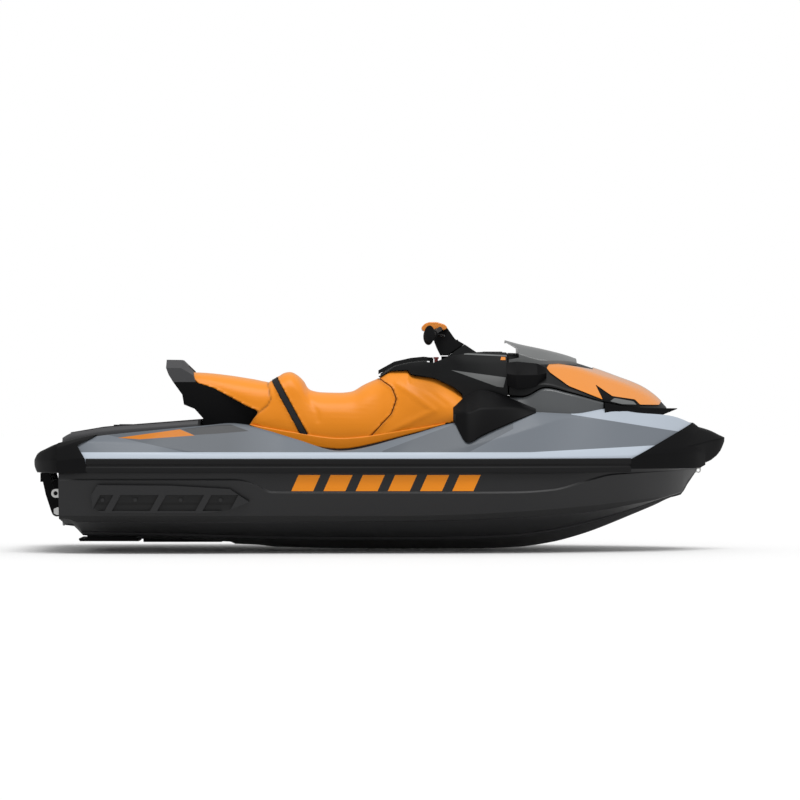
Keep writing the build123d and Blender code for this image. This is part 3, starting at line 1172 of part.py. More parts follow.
def build():
    os.makedirs("parts", exist_ok=True)
    hull_outer, deck_outer = hull_solid(), deck_solid()
    hood_grown = hood_solid(FIT)
    parts = {}
    parts["hull"] = make_hull(hull_outer)
    parts["deck"] = make_deck()
    parts["gunwale_bumper"] = make_bumper(hull_outer)
    parts["bow_cap"] = main_solid(make_cap(NOSE, NOSE_LINE, 1100, DECK[-1][0], CAP_SKIRT, hull_outer))
    parts["stern_cap"] = make_stern_cap(hull_outer)
    parts["swim_platform"] = make_platform(deck_outer, parts["stern_cap"])
    parts["platform_mat"] = make_platform_mat()
    parts["footwell_mats"] = make_footwell_mats()
    parts["accessory_anchors"] = make_anchors()
    passenger, driver, band, knee = make_saddle_pieces()
    parts["passenger_seat"], parts["driver_seat"] = passenger, driver
    parts["seat_strap"], parts["knee_cover"] = band, knee
    parts["seat_support"] = make_support(deck_outer, platform_solid())
    parts["grab_handle"] = make_grab_handle(passenger)
    console = parts["console"] = make_console(deck_outer)
    parts["glove_box"] = make_glove_box()
    parts["glove_box_lid"] = make_glove_lid()
    parts["lid_lugs"] = make_lid_lugs(console)
    parts["gauge"] = make_gauge()
    parts["lanyard_post"] = make_lanyard(console)
    parts["hood"] = make_hood()
    parts["hood_panel"] = main_solid(hood_skin(PANEL_OUTLINE, PANEL_THICK))
    parts["hood_vents"] = hood_skin(VENT_OUTLINE, VENT_THICK)
    parts["hood_hinge"] = make_hood_hinge(deck_outer)
    parts["coaming"] = make_coaming(deck_outer, console)
    parts["hood_lip"] = make_lip(deck_outer, parts["coaming"])
    parts["visor"] = make_visor()
    mirror = make_mirror(hood_grown, parts["visor"])
    parts["mirror_left"], parts["mirror_right"] = mirror, mirrored(mirror)
    parts["mirror_glasses"] = make_mirror_glass()
    fairing = make_fairing(deck_outer, console, saddle_solid(FIT), parts["coaming"])
    parts["fairing_left"], parts["fairing_right"] = fairing, mirrored(fairing)
    parts["storage_bin"] = make_bin()
    parts["pump_housing"] = make_pump()
    parts["impeller"] = make_impeller()
    parts["driveshaft"] = make_shaft()
    parts["ride_plate"] = make_ride_plate()
    parts["intake_grate"] = make_grate()
    parts["steering_nozzle"] = make_nozzle()
    parts["reverse_gate"] = make_gate()
    parts["engine_block"] = make_engine()
    parts["boarding_step"] = make_step()
    parts["step_brackets"] = make_step_brackets()
    parts["steering_boot"] = make_boot(console)
    parts["steering_riser"] = make_riser()
    parts["handlebar"] = make_bar()
    parts["handlebar_pad"] = make_bar_pad()
    parts["grips"] = make_grips()
    lever = make_lever()
    parts["throttle_lever"], parts["brake_lever"] = mirrored(lever), lever
    parts["stern_eyes"] = make_stern_eyes()
    parts["tow_eye"] = make_tow_eye()
    parts["bow_eye"] = make_bow_eye(hull_outer, parts["bow_cap"])
    parts["drain_plugs"] = make_plugs()
    sponson = make_sponson(hull_outer)
    parts["sponson_left"], parts["sponson_right"] = sponson, mirrored(sponson)
    for name, shape in parts.items():
        export_step(shape, f"parts/{name}.step")


if __name__ == "__main__":
    build()
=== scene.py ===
"""Dresses the personal watercraft: smooth mouldings, padded seats, finishes, studio and camera.

Metres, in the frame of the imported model: the origin is on the centreline at the waterline, +X is the bow,
+Y port and +Z up. Tables and sizes are in millimetres, as on a drawing, and MM turns them into metres.
"""

import json
import math

import bmesh
import bpy
import numpy as np
from bpy.props import FloatProperty, FloatVectorProperty
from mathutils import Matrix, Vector


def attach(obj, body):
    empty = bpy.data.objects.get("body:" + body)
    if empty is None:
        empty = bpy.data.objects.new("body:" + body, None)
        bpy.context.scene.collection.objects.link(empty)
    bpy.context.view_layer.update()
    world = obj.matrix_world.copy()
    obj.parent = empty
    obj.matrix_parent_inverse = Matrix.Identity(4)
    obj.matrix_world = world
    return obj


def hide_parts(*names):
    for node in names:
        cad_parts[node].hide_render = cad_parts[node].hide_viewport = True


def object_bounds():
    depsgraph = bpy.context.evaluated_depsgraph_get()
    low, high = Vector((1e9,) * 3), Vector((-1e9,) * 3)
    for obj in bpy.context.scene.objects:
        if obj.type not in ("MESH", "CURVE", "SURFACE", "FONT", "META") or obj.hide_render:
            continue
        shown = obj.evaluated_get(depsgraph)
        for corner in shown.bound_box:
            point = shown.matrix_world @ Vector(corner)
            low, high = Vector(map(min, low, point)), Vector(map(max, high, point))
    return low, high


bl_info = {
    "name": "Personal watercraft",
    "version": (1, 0, 0),
    "blender": (4, 5, 0),
    "location": "3D View > Sidebar > Watercraft",
    "description": "Mouldings, padded seats and finishes of a three-seat personal watercraft",
    "category": "Object",
}

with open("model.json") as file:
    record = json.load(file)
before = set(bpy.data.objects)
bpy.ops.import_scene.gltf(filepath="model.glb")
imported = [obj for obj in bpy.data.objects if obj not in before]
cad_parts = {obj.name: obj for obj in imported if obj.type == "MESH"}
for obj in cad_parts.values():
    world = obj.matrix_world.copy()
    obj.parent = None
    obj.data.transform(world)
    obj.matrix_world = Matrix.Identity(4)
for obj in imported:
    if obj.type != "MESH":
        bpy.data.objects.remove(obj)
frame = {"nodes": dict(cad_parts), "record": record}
CAD_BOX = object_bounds()
MM = 0.001

# How hull and deck meet
SHEER_Z = 185.0  # height of the joint
HULL_WALL = 10.0
DECK_WALL = 8.0
BOND_STEP = 18.0  # how far the hull's edge stands inside the deck's
BOND_LAP = 32.0  # width of the flange that the deck turns in
TRIM = 8.0  # how far the caps' skirts stand out from the deck
GAP = 0.4  # between pieces that meet

# Hull stations: x, keel height, strake (half-breadth, height), chine (same), side crease (same)
HULL = [
    (-1532, -112, 150, -108, 548, -54, 576, 115),
    (-1492, -116, 150, -110, 551, -54, 581, 115),
    (-1448, -184, 205, -146, 555, -54, 585, 115),
    (-1134, -194, 215, -154, 563, -54, 596, 115),
    (-700, -208, 225, -166, 569, -54, 602, 115),
    (-604, -212, 226, -168, 570, -53, 603, 96),
    (-523, -222, 226, -172, 570, -52, 603, 56),
    (83, -232, 226, -175, 566, -46, 603, 55),
    (420, -232, 212, -172, 548, -39, 594, 54),
    (640, -226, 190, -162, 512, -31, 570, 55),
    (811, -204, 160, -142, 462, -22, 532, 66),
    (960, -166, 122, -112, 402, -10, 484, 105),
    (1094, -118, 86, -76, 328, 3, 424, 138),
    (1215, -66, 54, -36, 246, 14, 355, 146),
    (1320, -20, 32, 2, 158, 24, 276, 152),
    (1400, 20, 16, 30, 80, 40, 206, 156),
    (1449, 34, 8, 42, 30, 56, 146, 160),
    (1481, 84, 6, 92, 18, 104, 100, 162),
    (1525, 150, 4, 154, 12, 158, 40, 166),
]
STRAKE_WIDTH, STRAKE_LIP = 30.0, 14.0
CHINE_TUCK = 32.0
CREASE_STEP = 8.0
SMALL_BOW = 150.0  # where keel and chine are closer than this, strake and tuck shrink in proportion
HOLLOW_TO = 1330.0  # the hull is solid ahead of this
HULL_RADII = [1, 4, 4, 6, 10, 3, 4, 4]  # corner radii from the corner beside the keel up to the sheer
KEEL_RADIUS = 40

# Deck stations: x, half-breadth and height of the gunwale, the side crease, the top edge, the inner edge, the
# footwell floor outside and inside, and the pedestal
DECK = [
    (-1540, 575, 205, 550, 262, 505, 285, 480, 283, 400, 283, 300, 283, 200, 283),
    (-1386, 602, 219, 562, 300, 520, 321, 500, 318, 400, 318, 300, 318, 200, 318),
    (-1134, 612, 219, 564, 290, 506, 350, 486, 345, 400, 345, 300, 345, 200, 345),
    (-871, 616, 219, 584, 247, 498, 375, 478, 370, 400, 370, 300, 370, 200, 370),
    (-735, 618, 219, 590, 244, 490, 385, 470, 380, 425, 330, 285, 345, 212, 385),
    (-640, 619, 219, 594, 243, 498, 377, 478, 372, 452, 190, 268, 190, 212, 375),
    (-560, 619, 219, 597, 243, 510, 358, 490, 353, 465, 96, 262, 96, 208, 355),
    (-404, 620, 219, 601, 243, 530, 311, 510, 306, 480, 75, 258, 75, 203, 325),
    (-204, 620, 219, 608, 242, 562, 258, 542, 253, 492, 72, 255, 72, 200, 300),
    (131, 619, 220, 603, 246, 532, 332, 512, 327, 478, 75, 255, 75, 200, 345),
    (336, 613, 221, 590, 268, 506, 389, 486, 384, 455, 90, 262, 90, 205, 385),
    (470, 602, 222, 570, 298, 484, 404, 464, 399, 425, 180, 285, 180, 215, 410),
    (600, 584, 223, 545, 332, 466, 420, 446, 416, 402, 330, 300, 330, 225, 425),
    (715, 562, 224, 508, 366, 446, 440, 426, 436, 385, 424, 305, 425, 225, 425),
    (910, 514, 227, 408, 415, 388, 432, 368, 430, 335, 427, 280, 425, 225, 425),
    (1094, 450, 231, 366, 399, 318, 458, 300, 454, 276, 436, 245, 425, 225, 425),
    (1216, 396, 234, 322, 380, 270, 437, 254, 434, 240, 428, 228, 425, 215, 425),
    (1377, 302, 238, 238, 352, 190, 423, 174, 421, 150, 419, 125, 418, 100, 417),
    (1503, 196, 242, 140, 330, 100, 378, 88, 377, 70, 376, 50, 376, 30, 376),
    (1560, 110, 244, 72, 300, 48, 330, 40, 330, 30, 330, 20, 330, 10, 330),
]
BEVEL_IN, BEVEL_UP = 10.0, 22.0
DECK_RADII = [2, 5, 6, 9, 18, 10, 26, 26, 20]  # corner radii from the flange to the pedestal
STORAGE = (724.0, 1130.0, 196.0, 425.0)  # opening in the deck: x from, x to, half-width, height

# Gunwale bumper
BUMPER_FROM, BUMPER_TO = -1400.0, 1184.0
BUMPER_BOTTOM, BUMPER_TOP = 151.0, 219.0
BUMPER_OUT = 8.0
BUMPER_RADII = [1, 6, 6, 3, 3, 3, 3, 5, 4, 1, 1, 1]

# Stern and bow caps: x, half-breadth and height of the bottom edge, the ridge and the shoulder, and the crown
STERN_CAP = [
    (-1662, 372, 180, 384, 202, 372, 214, 220),
    (-1645, 424, 151, 438, 205, 424, 240, 248),
    (-1600, 496, 151, 512, 212, 480, 264, 274),
    (-1540, 552, 151, 572, 216, 520, 288, 298),
    (-1386, 600, 151, 611, 219, 560, 300, 305),
]
NOSE = [
    (1440, 215, 178, 250, 268, 150, 372, 392),
    (1525, 128, 184, 178, 284, 88, 362, 370),
    (1590, 74, 204, 112, 300, 52, 344, 350),
    (1640, 36, 250, 62, 309, 32, 322, 325),
    (1659, 18, 292, 36, 312, 20, 315, 316),
]
CAP_RADII = [30, 10, 8, 22, 60, 22, 8, 10]
CAP_SKIRT = 168.0  # lower edge of the bow cap's skirt
STERN_SKIRT_TO, BOW_SKIRT_FROM = -1200, 1100
NOSE_LINE = [(1182, CAP_SKIRT), (1182, 214), (1250, 250), (1506, 390), (1700, 420), (1700, 100), (1560, 100)]
STERN_LINE = [(-1700, 120), (-1700, 345), (-1340, 345), (-1370, 321), (-1443, 280), (-1403, 215),
              (-1392, 120)]
CHIN = [(1500, 100), (1524, 166), (1564, 184), (1612, 221), (1700, 268), (1700, 100)]  # cut below the bow cap
NOSE_TRIM = [(1515, 100), (1515, 200), (1600, 232), (1600, 100)]  # cut off the deck's rim inside the bow cap
TOW_POCKET = (-1645.0, -1560.0, 45.0, 226.0)  # x from, x to, half-width, floor

# Swim platform: x, half-breadth, top height
PLATFORM = [(-1528, 392, 316), (-1490, 415, 337), (-1400, 430, 352), (-1330, 436, 364), (-1140, 436, 379),
            (-880, 420, 399)]
PLATFORM_EDGE = 16.0
PLATFORM_RADII = [1, 4, 10, 10, 10, 1, 1, 10, 10, 10, 4, 1]
ANCHORS = (-1262.0, 200.0, 34.3, 14.0)  # x, y, radius, depth of the wells

# Pump tunnel and intake duct
PUMP_Z, PUMP_FRONT = -60.0, -1180.0
TUNNEL_HALF, TUNNEL_ROOF, TUNNEL_WALL = 145.0, 136.0, 10.0
DUCT_HALF, DUCT_FRONT, BORE_R = 90.0, -720.0, 80.5
UNDER_HULL = -400.0  # a height below everything

# Saddle: x, top height, crown half-width, shoulder (half-width, height), skirt half-width
SADDLE = [
    (-950, 632, 105, 150, 590, 172),
    (-871, 626, 114, 158, 580, 186),
    (-735, 608, 122, 172, 560, 202),
    (-640, 593, 126, 178, 545, 212),
    (-560, 584, 126, 182, 532, 218),
    (-520, 600, 120, 180, 545, 220),
    (-486, 626, 112, 176, 575, 221),
    (-450, 633, 108, 173, 585, 222),
    (-404, 606, 112, 176, 560, 223),
    (-353, 540, 120, 188, 492, 224),
    (-300, 527, 124, 195, 472, 224),
    (-204, 525, 124, 196, 470, 225),
    (-147, 533, 118, 192, 476, 225),
    (-92, 566, 106, 182, 500, 224),
    (-15, 606, 92, 164, 545, 223),
    (36, 638, 92, 160, 580, 226),
    (121, 642, 104, 172, 585, 238),
    (136, 621, 108, 180, 572, 240),
    (248, 603, 140, 232, 530, 268),
    (336, 562, 180, 276, 486, 305),
    (384, 525, 205, 300, 462, 322),
]
SADDLE_RADII = [10, 5, 30, 45, 50, 60, 50, 45, 30, 5]
SADDLE_CROWN = 6.0  # how far the middle stands above the crown's edge
SKIRT_BAND = 40.0
SEAM_GAP = 1.0  # half of the gap between two cushions
SEAT_BASE_DEPTH = 11.0  # how far the base lies under the vinyl
REAR_SEAT_UNDER = [(-938, 630), (-900, 579), (-812, 550), (-730, 506), (-649, 462), (-601, 443), (-641, 377)]
STRAP_AT = ((-526.0, 600.0), (-362.0, 300.0))  # middle of the strap, at its top and bottom
STRAP_REACH = (750, 200)  # heights between which the strap's line is drawn
STRAP_HALF, STRAP_THICK = 16.0, 6.0
KNEE_SEAM = [(-20, 720), (-20, 602), (44, 556), (66, 500), (42, 430), (-83, 294), (-83, 180)]
PASSENGER_SEAM = [(-556, 640), (-556, 582), (-541, 500), (-556, 470), (-598, 438), (-640, 400)]

# Folds in the padding: side line, width, height
BOLSTER_FOLDS = [([(-368, 560), (-352, 500), (-318, 440), (-310, 400)], 13.0, -3.0)]
KNEE_FOLDS = [([(66, 580), (150, 520), (246, 446), (110, 380), (0, 322)], 16.0, 4.0),
              ([(120, 610), (200, 560), (300, 480)], 14.0, -2.5)]

# Skirt below the seats: x, how far it hangs below the pedestal's edge, how far it rises above
SKIRT = [(-640, 0, 4), (-560, 20, 8), (-404, 40, 12), (-204, 40, 12), (-60, 30, 12), (131, 14, 10),
         (300, 0, 6)]

# Console, side outline, and its half-widths: x, top, waist, foot, height of the shoulder
CONSOLE_OUTLINE = [(-24, 612), (-15, 606), (36, 638), (121, 642), (136, 621), (248, 603), (336, 562),
                   (384, 525), (384, 300), (598, 300), (598, 725), (500, 729), (448, 727), (330, 712),
                   (245, 676), (196, 682), (134, 676), (58, 658), (-4, 616)]
CONSOLE_WIDTHS = [(-24, 50, 92, 92, 606), (36, 66, 100, 100, 623), (134, 84, 124, 120, 650),
                  (248, 104, 170, 175, 668), (384, 150, 235, 250, 690), (598, 205, 325, 285, 690)]
CONSOLE_RADII = [0, 2, 30, 24, 24, 10, 0, 10, 24, 24, 30, 2]
CONSOLE_SHOULDER = 38.0  # how far the shoulder stands outside the top
CONSOLE_TRIM_THICK = 2.0
GLOVE = (76.0, 200.0, 70.0, 540.0)  # x from, x to, half-width, bottom
# The side facet and the top strip are painted highlights: thin skins in a paler grey where the console
# catches light.
CONSOLE_TRIMS = [  # name, side outline, slot, finish
    ("console_side_highlight", [(330, 640), (590, 604), (578, 556), (548, 560)], "dark_plastic", "visor_grey"),
    ("console_top_highlight", [(392, 715), (596, 705), (596, 712), (392, 723)], "dark_plastic", "visor_grey"),
    ("console_mark", [(566, 688), (590, 688), (590, 702), (570, 704)], "panel_orange", "panel_orange"),
]

# Gasket under the glove box lid: x, bottom, top, half-width
LID_GASKET = [(-12, 607, 624, 48), (0, 610, 633, 54), (54, 650, 663, 68), (134, 670, 681, 84),
              (196, 676, 687, 92), (214, 676, 686, 93)]
GASKET_EDGES = (8, 2)  # how far its inner and outer faces lie inside the half-width
GAUGE = (484.0, 578.0, 88.0, 712.0)  # x from, x to, half-width, pocket floor

# Front hatch: x, crown height, half-width and height of the spine edge, the shoulder, the side and the bottom
HOOD = [
    (606, 727, 150, 716, 262, 640, 318, 570, 322, 520),
    (671, 724, 138, 715, 260, 648, 336, 566, 340, 516),
    (778, 715, 114, 707, 243, 661, 352, 572, 354, 560),
    (890, 692, 95, 684, 222, 655, 344, 548, 350, 537),
    (1056, 640, 68, 634, 194, 606, 312, 506, 320, 490),
    (1134, 611, 55, 606, 164, 583, 266, 490, 278, 474),
    (1255, 563, 40, 558, 116, 530, 190, 466, 200, 455),
    (1330, 512, 28, 507, 80, 486, 130, 450, 138, 446),
    (1378, 462, 16, 460, 42, 452, 68, 442, 72, 439),
]
HOOD_RADII = [1, 8, 34, 14, 40, 14, 34, 8, 1]
HOOD_WALL, HOOD_HOLLOW_END = 12.0, 1290.0
PANEL_THICK = 5.0
PANEL_OUTLINE = [(787, 650), (800, 668), (848, 671), (983, 650), (1018, 645), (1040, 720), (1400, 720),
                 (1400, 560), (1352, 492), (1338, 473), (1239, 474), (1215, 499), (1102, 515), (1021, 571),
                 (1053, 499), (892, 563), (803, 628)]
HINGE = (1392.0, 446.0)
HINGE_PIN_R, HINGE_KNUCKLE_R, TONGUE_HALF, HINGE_LUG, SWING = 5.0, 9.0, 18.0, 10.0, 6.0
VENT_OUTLINE = [(1026, 566), (1102, 513), (1215, 497), (1236, 472), (1240, 440), (1060, 440), (1056, 496)]
VENT_LIGHT = [(1090, 490), (1112, 506), (1206, 490), (1222, 474), (1150, 476)]
VENT_THICK = 2.5
VENT_LIGHT_OUT, VENT_LIGHT_IN = 1.5, 1.0  # how far it stands out of the vents' skin, and reaches into it

# Coaming below the front hatch: x, foot half-breadth, top half-breadth, top height
COAMING = [(606, 408, 330, 508), (671, 404, 348, 508), (778, 396, 362, 552), (890, 384, 358, 529),
           (1056, 330, 326, 486)]
COAMING_RADII = [0, 1, 4, 4, 0, 4, 4, 1]
COAMING_INNER = 262.0
COAMING_OPEN_FROM = 708.0

# Rubber seal inside the coaming, side outline and thickness
HATCH_SEAL = [(600, 425), (600, 517), (624, 517), (627, 530), (671, 530), (778, 574), (890, 551), (1056, 508),
              (1110, 490), (1110, 425)]
SEAL_THICK = 24.0
LIP_TRIM = [(1352, 424), (1460, 466), (1460, 380), (1352, 380)]  # cut below the lip's tip

# Wind visor: x, crown height, shoulder (half-width, height), edge (half-width, height)
VISOR = [
    (593, 789, 118, 780, 222, 742),
    (667, 769, 118, 760, 232, 716),
    (760, 749, 108, 742, 228, 690),
    (890, 716, 84, 710, 176, 684),
    (938, 699, 60, 694, 118, 676),
]
VISOR_RADII = [0, 1, 6, 40, 60, 40, 6, 1]
VISOR_UNDERCUT = [(560, 600), (560, 772), (604, 774), (650, 748), (656, 700), (606, 690), (606, 600)]

# Side fairing: x, lower edge (height, stand-off from the deck side), middle (half-breadth, height) and upper
# edge (same)
FAIRING = [
    (336, 404, 10, 474, 440, 395, 462),
    (404, 294, 12, 530, 440, 350, 520),
    (470, 330, 18, 520, 460, 325, 545),
    (600, 386, 14, 478, 462, 335, 510),
    (730, 437, 6, 430, 448, 390, 456),
]
FAIRING_RADII = [4, 14, 8, 4, 4]

# Steering: a point on the axis, its tilt aft of vertical, and the collar between boot and riser
STEER, TILT = (390.0, 700.0), 35.0
COLLAR_SPAN = (50.6, 56.4)  # where it lies along the axis
COLLAR_AHEAD = -6.5  # how far the oval is moved ahead
COLLAR_HALF = (48.5, 56.0)  # half length, half width
COLLAR_SIDES = 64
CABLE_COVER = [(284, 686), (340, 702), (345, 712), (318, 708.5), (284, 708.5)]
GRIP = [  # y, x, z, half length, half height
    (236, 239, 811, 25, 25), (243, 239, 811, 25, 25), (246, 238, 811, 19, 19), (300, 235, 809, 20, 20),
    (346, 232, 808, 20, 21), (354, 229, 809, 22, 29), (360, 226, 810, 25, 38), (372, 224, 810, 26, 42),
    (378, 223, 811, 22, 37),
]
PAD_OUTLINE = [(190, 832), (186, 848), (203, 866), (226, 874), (262, 874), (298, 863), (314, 848), (300, 834),
               (262, 842), (240, 834), (214, 826)]
PAD_HALF, PAD_CORNERS, PAD_ROUND = 88.0, 7.0, 5.0
CABLE_COVER_HALF = 14.0


# Shapes

def pairs(*points):
    """Half sections as an array: station, point, (half-breadth, height). A point is two arrays or numbers."""
    flat = np.broadcast_arrays(*[value for point in points for value in point])
    return np.stack(flat, axis=1).reshape(len(flat[0]), len(points), 2)


def between_rows(table, x):
    """The table's columns at stations x, by a cubic that keeps to the rows and has no overshoot."""
    rows = np.array(table, float)
    at, value = rows[:, 0], rows[:, 1:]
    step = np.diff(at)[:, None]
    slope = np.diff(value, axis=0) / step
    before, after = slope[:-1], slope[1:]
    turning = before * after <= 0
    before, after = np.where(turning, 1.0, before), np.where(turning, 1.0, after)
    near, far = 2 * step[1:] + step[:-1], step[1:] + 2 * step[:-1]
    middle = np.where(turning, 0.0, (near + far) / (near / before + far / after))
    tangent = np.vstack([slope[:1], middle, slope[-1:]])
    i = np.clip(np.searchsorted(at, x, side="right") - 1, 0, len(at) - 2)
    t = ((np.clip(x, at[0], at[-1]) - at[i]) / step[i, 0])[:, None]
    bend = (2 * t**3 - 3 * t**2 + 1) * value[i] + (3 * t**2 - 2 * t**3) * value[i + 1]
    return bend + step[i] * ((t**3 - 2 * t**2 + t) * tangent[i] + (t**3 - t**2) * tangent[i + 1])


def stations(table, x_from=None, x_to=None, pitch=26.0):
    """Stations from one end of the table to the other, through its rows, about pitch apart."""
    x_from = table[0][0] if x_from is None else x_from
    x_to = table[-1][0] if x_to is None else x_to
    ends = [x_from] + [row[0] for row in table if x_from + 2 < row[0] < x_to - 2] + [x_to]
    runs = [np.linspace(a, b, max(1, math.ceil((b - a) / pitch)), endpoint=False)
            for a, b in zip(ends, ends[1:])]
    return np.concatenate([*runs, [x_to]])


MOST_OF_EDGE = 0.46  # the share of an edge that one corner's curve may take


def rounded(lines, radii, steps=5):
    """Closed sections with each corner a quadratic curve that starts and ends radius away from it."""
    reach = np.broadcast_to(np.asarray(radii, float), lines.shape[1:2])[None, :, None]
    back, ahead = np.roll(lines, 1, axis=1) - lines, np.roll(lines, -1, axis=1) - lines
    behind = np.maximum(np.linalg.norm(back, axis=2, keepdims=True), 1e-6)
    before = np.maximum(np.linalg.norm(ahead, axis=2, keepdims=True), 1e-6)
    start = lines + back * np.minimum(MOST_OF_EDGE, reach / behind)
    end = lines + ahead * np.minimum(MOST_OF_EDGE, reach / before)
    t = np.linspace(0, 1, steps)[None, None, :, None]
    curve = (1 - t) ** 2 * start[:, :, None] + 2 * t * (1 - t) * lines[:, :, None] + t**2 * end[:, :, None]
    return curve.reshape(len(lines), -1, 2)


def moved_out(lines, gap):
    """Open lines moved to their right by gap, each point along the mean of its edges' normals."""
    edge = np.diff(lines, axis=1)
    normal = np.stack([edge[..., 1], -edge[..., 0]], axis=2)
    normal /= np.maximum(np.linalg.norm(edge, axis=2, keepdims=True), 1e-6)
    total = np.concatenate([normal[:, :1], normal[:, :-1] + normal[:, 1:], normal[:, -1:]], axis=1)
    share = gap / np.maximum(0.6, (total**2).sum(2, keepdims=True) / 2)
    share[:, [0, -1]] = gap
    return lines + total * share


def other_side(half):
    """Half sections continued round the mirrored side."""
    return np.concatenate([half, half[:, ::-1] * (-1, 1)], axis=1)


def closed_round(half):
    """Half sections that start and end on the centreline, closed by their mirror image."""
    return np.concatenate([half, half[:, -2:0:-1] * (-1, 1)], axis=1)


def new_mesh(name, points, faces):
    """A mesh of these points and faces, its doubles merged and its faces turned outwards."""
    mesh = bpy.data.meshes.new(name)
    mesh.from_pydata(points, [], faces)
    return tidied(mesh)


def tidied(mesh, near=1e-5):
    """Doubles merged and faces turned outwards."""
    bm = bmesh.new()
    bm.from_mesh(mesh)
    bmesh.ops.remove_doubles(bm, verts=bm.verts, dist=near)
    bmesh.ops.recalc_face_normals(bm, faces=bm.faces)
    bm.to_mesh(mesh)
    bm.free()
    return mesh


def skin(name, x, lines, round_from=0.0, round_to=0.0):
    """A closed skin through closed sections at stations x, with ends flat or rounded by a quarter ellipse."""
    for radius, end, rear in ((round_from, 0, True), (round_to, -1, False)):
        if radius:
            turn = np.linspace(0.15, 1, 6) * math.pi / 2
            inset, ahead = radius * (1 - np.cos(turn)), radius * (1 - np.sin(turn))
            ring = lines[end]
            centre = (ring.max(0) + ring.min(0)) / 2
            half = np.maximum((ring.max(0) - ring.min(0)) / 2, 1.0)
            scale = 1 - np.minimum(inset[:, None] / half, 0.8)
            rings = centre + (ring - centre) * scale[:, None]
            at = x[end] + ahead if rear else x[end] - ahead
            kept = x > x[0] + radius if rear else x < x[-1] - radius
            x = np.concatenate([at[::-1], x[kept]] if rear else [x[kept], at])
            lines = np.concatenate([rings[::-1], lines[kept]] if rear else [lines[kept], rings])
    count, around = lines.shape[:2]
    points = np.empty((count, around, 3))
    points[..., 0], points[..., 1:] = x[:, None], lines
    return new_mesh(name, points.reshape(-1, 3) * MM, tube_faces(count, around))


def tube_faces(count, around):
    """The faces of a tube of rings and of its two ends."""
    spot = np.arange(count * around).reshape(count, around)
    turned = np.roll(spot, -1, axis=1)
    quads = np.stack([spot[:-1], turned[:-1], turned[1:], spot[1:]], axis=2).reshape(-1, 4)
    return quads.tolist() + [spot[0, ::-1].tolist(), spot[-1].tolist()]


def ovals_across(name, rows, sides=40):
    """A closed skin across the craft through upright ovals, each row y, x, z, half length, half height."""
    y, x, z, half_x, half_z = np.array(rows, float).T[..., None]
    turn = np.linspace(0, 2 * math.pi, sides, endpoint=False)
    points = np.stack([x + half_x * np.cos(turn), y + 0 * turn, z + half_z * np.sin(turn)], axis=2)
    return new_mesh(name, points.reshape(-1, 3) * MM, tube_faces(len(rows), sides))


def prism(name, outline, y_from, y_to, radius=0.0):
    """A side outline (x, z), its corners rounded, extruded from y_from to y_to."""
    line = np.array(outline, float)[None]
    line = (rounded(line, radius) if radius else line)[0]
    count = len(line)
    low = np.column_stack([line[:, 0], np.full(count, y_from), line[:, 1]])
    high = np.column_stack([line[:, 0], np.full(count, y_to), line[:, 1]])
    a = np.arange(count)
    b = np.roll(a, -1)
    sides = np.stack([a, b, b + count, a + count], axis=1).tolist()
    return new_mesh(name, np.concatenate([low, high]) * MM, sides + [a[::-1].tolist(), (a + count).tolist()])


def slab(name, outline, half=2000.0, radius=0.0):
    """A side outline extruded by half to each side of the centreline."""
    return prism(name, outline, -half, half, radius)


def block(name, x_from, x_to, y_from, y_to, z_from, z_to):
    """A box between these planes."""
    return prism(name, [(x_from, z_from), (x_to, z_from), (x_to, z_to), (x_from, z_to)], y_from, y_to)


def room(name, spot, top=800):
    """What an inset piece needs, up to top: x from, x to, half-width and floor, each with the gap."""
    x_from, x_to, half, floor = spot
    return block(name, x_from - GAP, x_to + GAP, -half - GAP, half + GAP, floor - GAP, top)


def column(name, x, y, z_from, z_to, radius, sides=48):
    """An upright round bar."""
    turn = np.linspace(0, 2 * math.pi, sides, endpoint=False)
    ring = np.column_stack([x + radius * np.cos(turn), y + radius * np.sin(turn)])
    low, high = np.insert(ring, 2, z_from, axis=1), np.insert(ring, 2, z_to, axis=1)
    a = np.arange(sides)
    b = np.roll(a, -1)
    faces = np.stack([a, b, b + sides, a + sides], axis=1).tolist()
    return new_mesh(name, np.concatenate([low, high]) * MM, faces + [a[::-1].tolist(), (a + sides).tolist()])


def mirrored(mesh):
    """The mesh mirrored in the centreline plane, faces outwards."""
    copy = mesh.copy()
    points = np.empty(len(copy.vertices) * 3)
    copy.vertices.foreach_get("co", points)
    points[1::3] *= -1
    copy.vertices.foreach_set("co", points)
    copy.flip_normals()
    return copy


def joined(name, *meshes):
    """Several closed meshes as one."""
    bm = bmesh.new()
    for mesh in meshes:
        bm.from_mesh(mesh)
    made = bpy.data.meshes.new(name)
    bm.to_mesh(made)
    bm.free()
    return made


def linked(mesh, name="form"):
    """An object for the mesh, in the scene."""
    obj = bpy.data.objects.new(name, mesh)
    bpy.context.scene.collection.objects.link(obj)
    return obj


WAYS = {"cut": "DIFFERENCE", "keep": "INTERSECT", "join": "UNION"}


def carved(name, base, *steps):
    """base after a chain of boolean steps, each one of WAYS and a mesh, and then tidied."""
    body = linked(base)
    tools = []
    for way, tool in steps:
        tools.append(linked(tool))
        change = body.modifiers.new(way, "BOOLEAN")
        change.operation = WAYS[way]
        change.solver = "EXACT"
        change.object = tools[-1]
    made = bpy.data.meshes.new_from_object(body.evaluated_get(bpy.context.evaluated_depsgraph_get()))
    for obj in [body, *tools]:
        bpy.data.objects.remove(obj)
    if not made.polygons:
        raise RuntimeError(f"nothing is left of {name}")
    made.name = name
    return tidied(made)


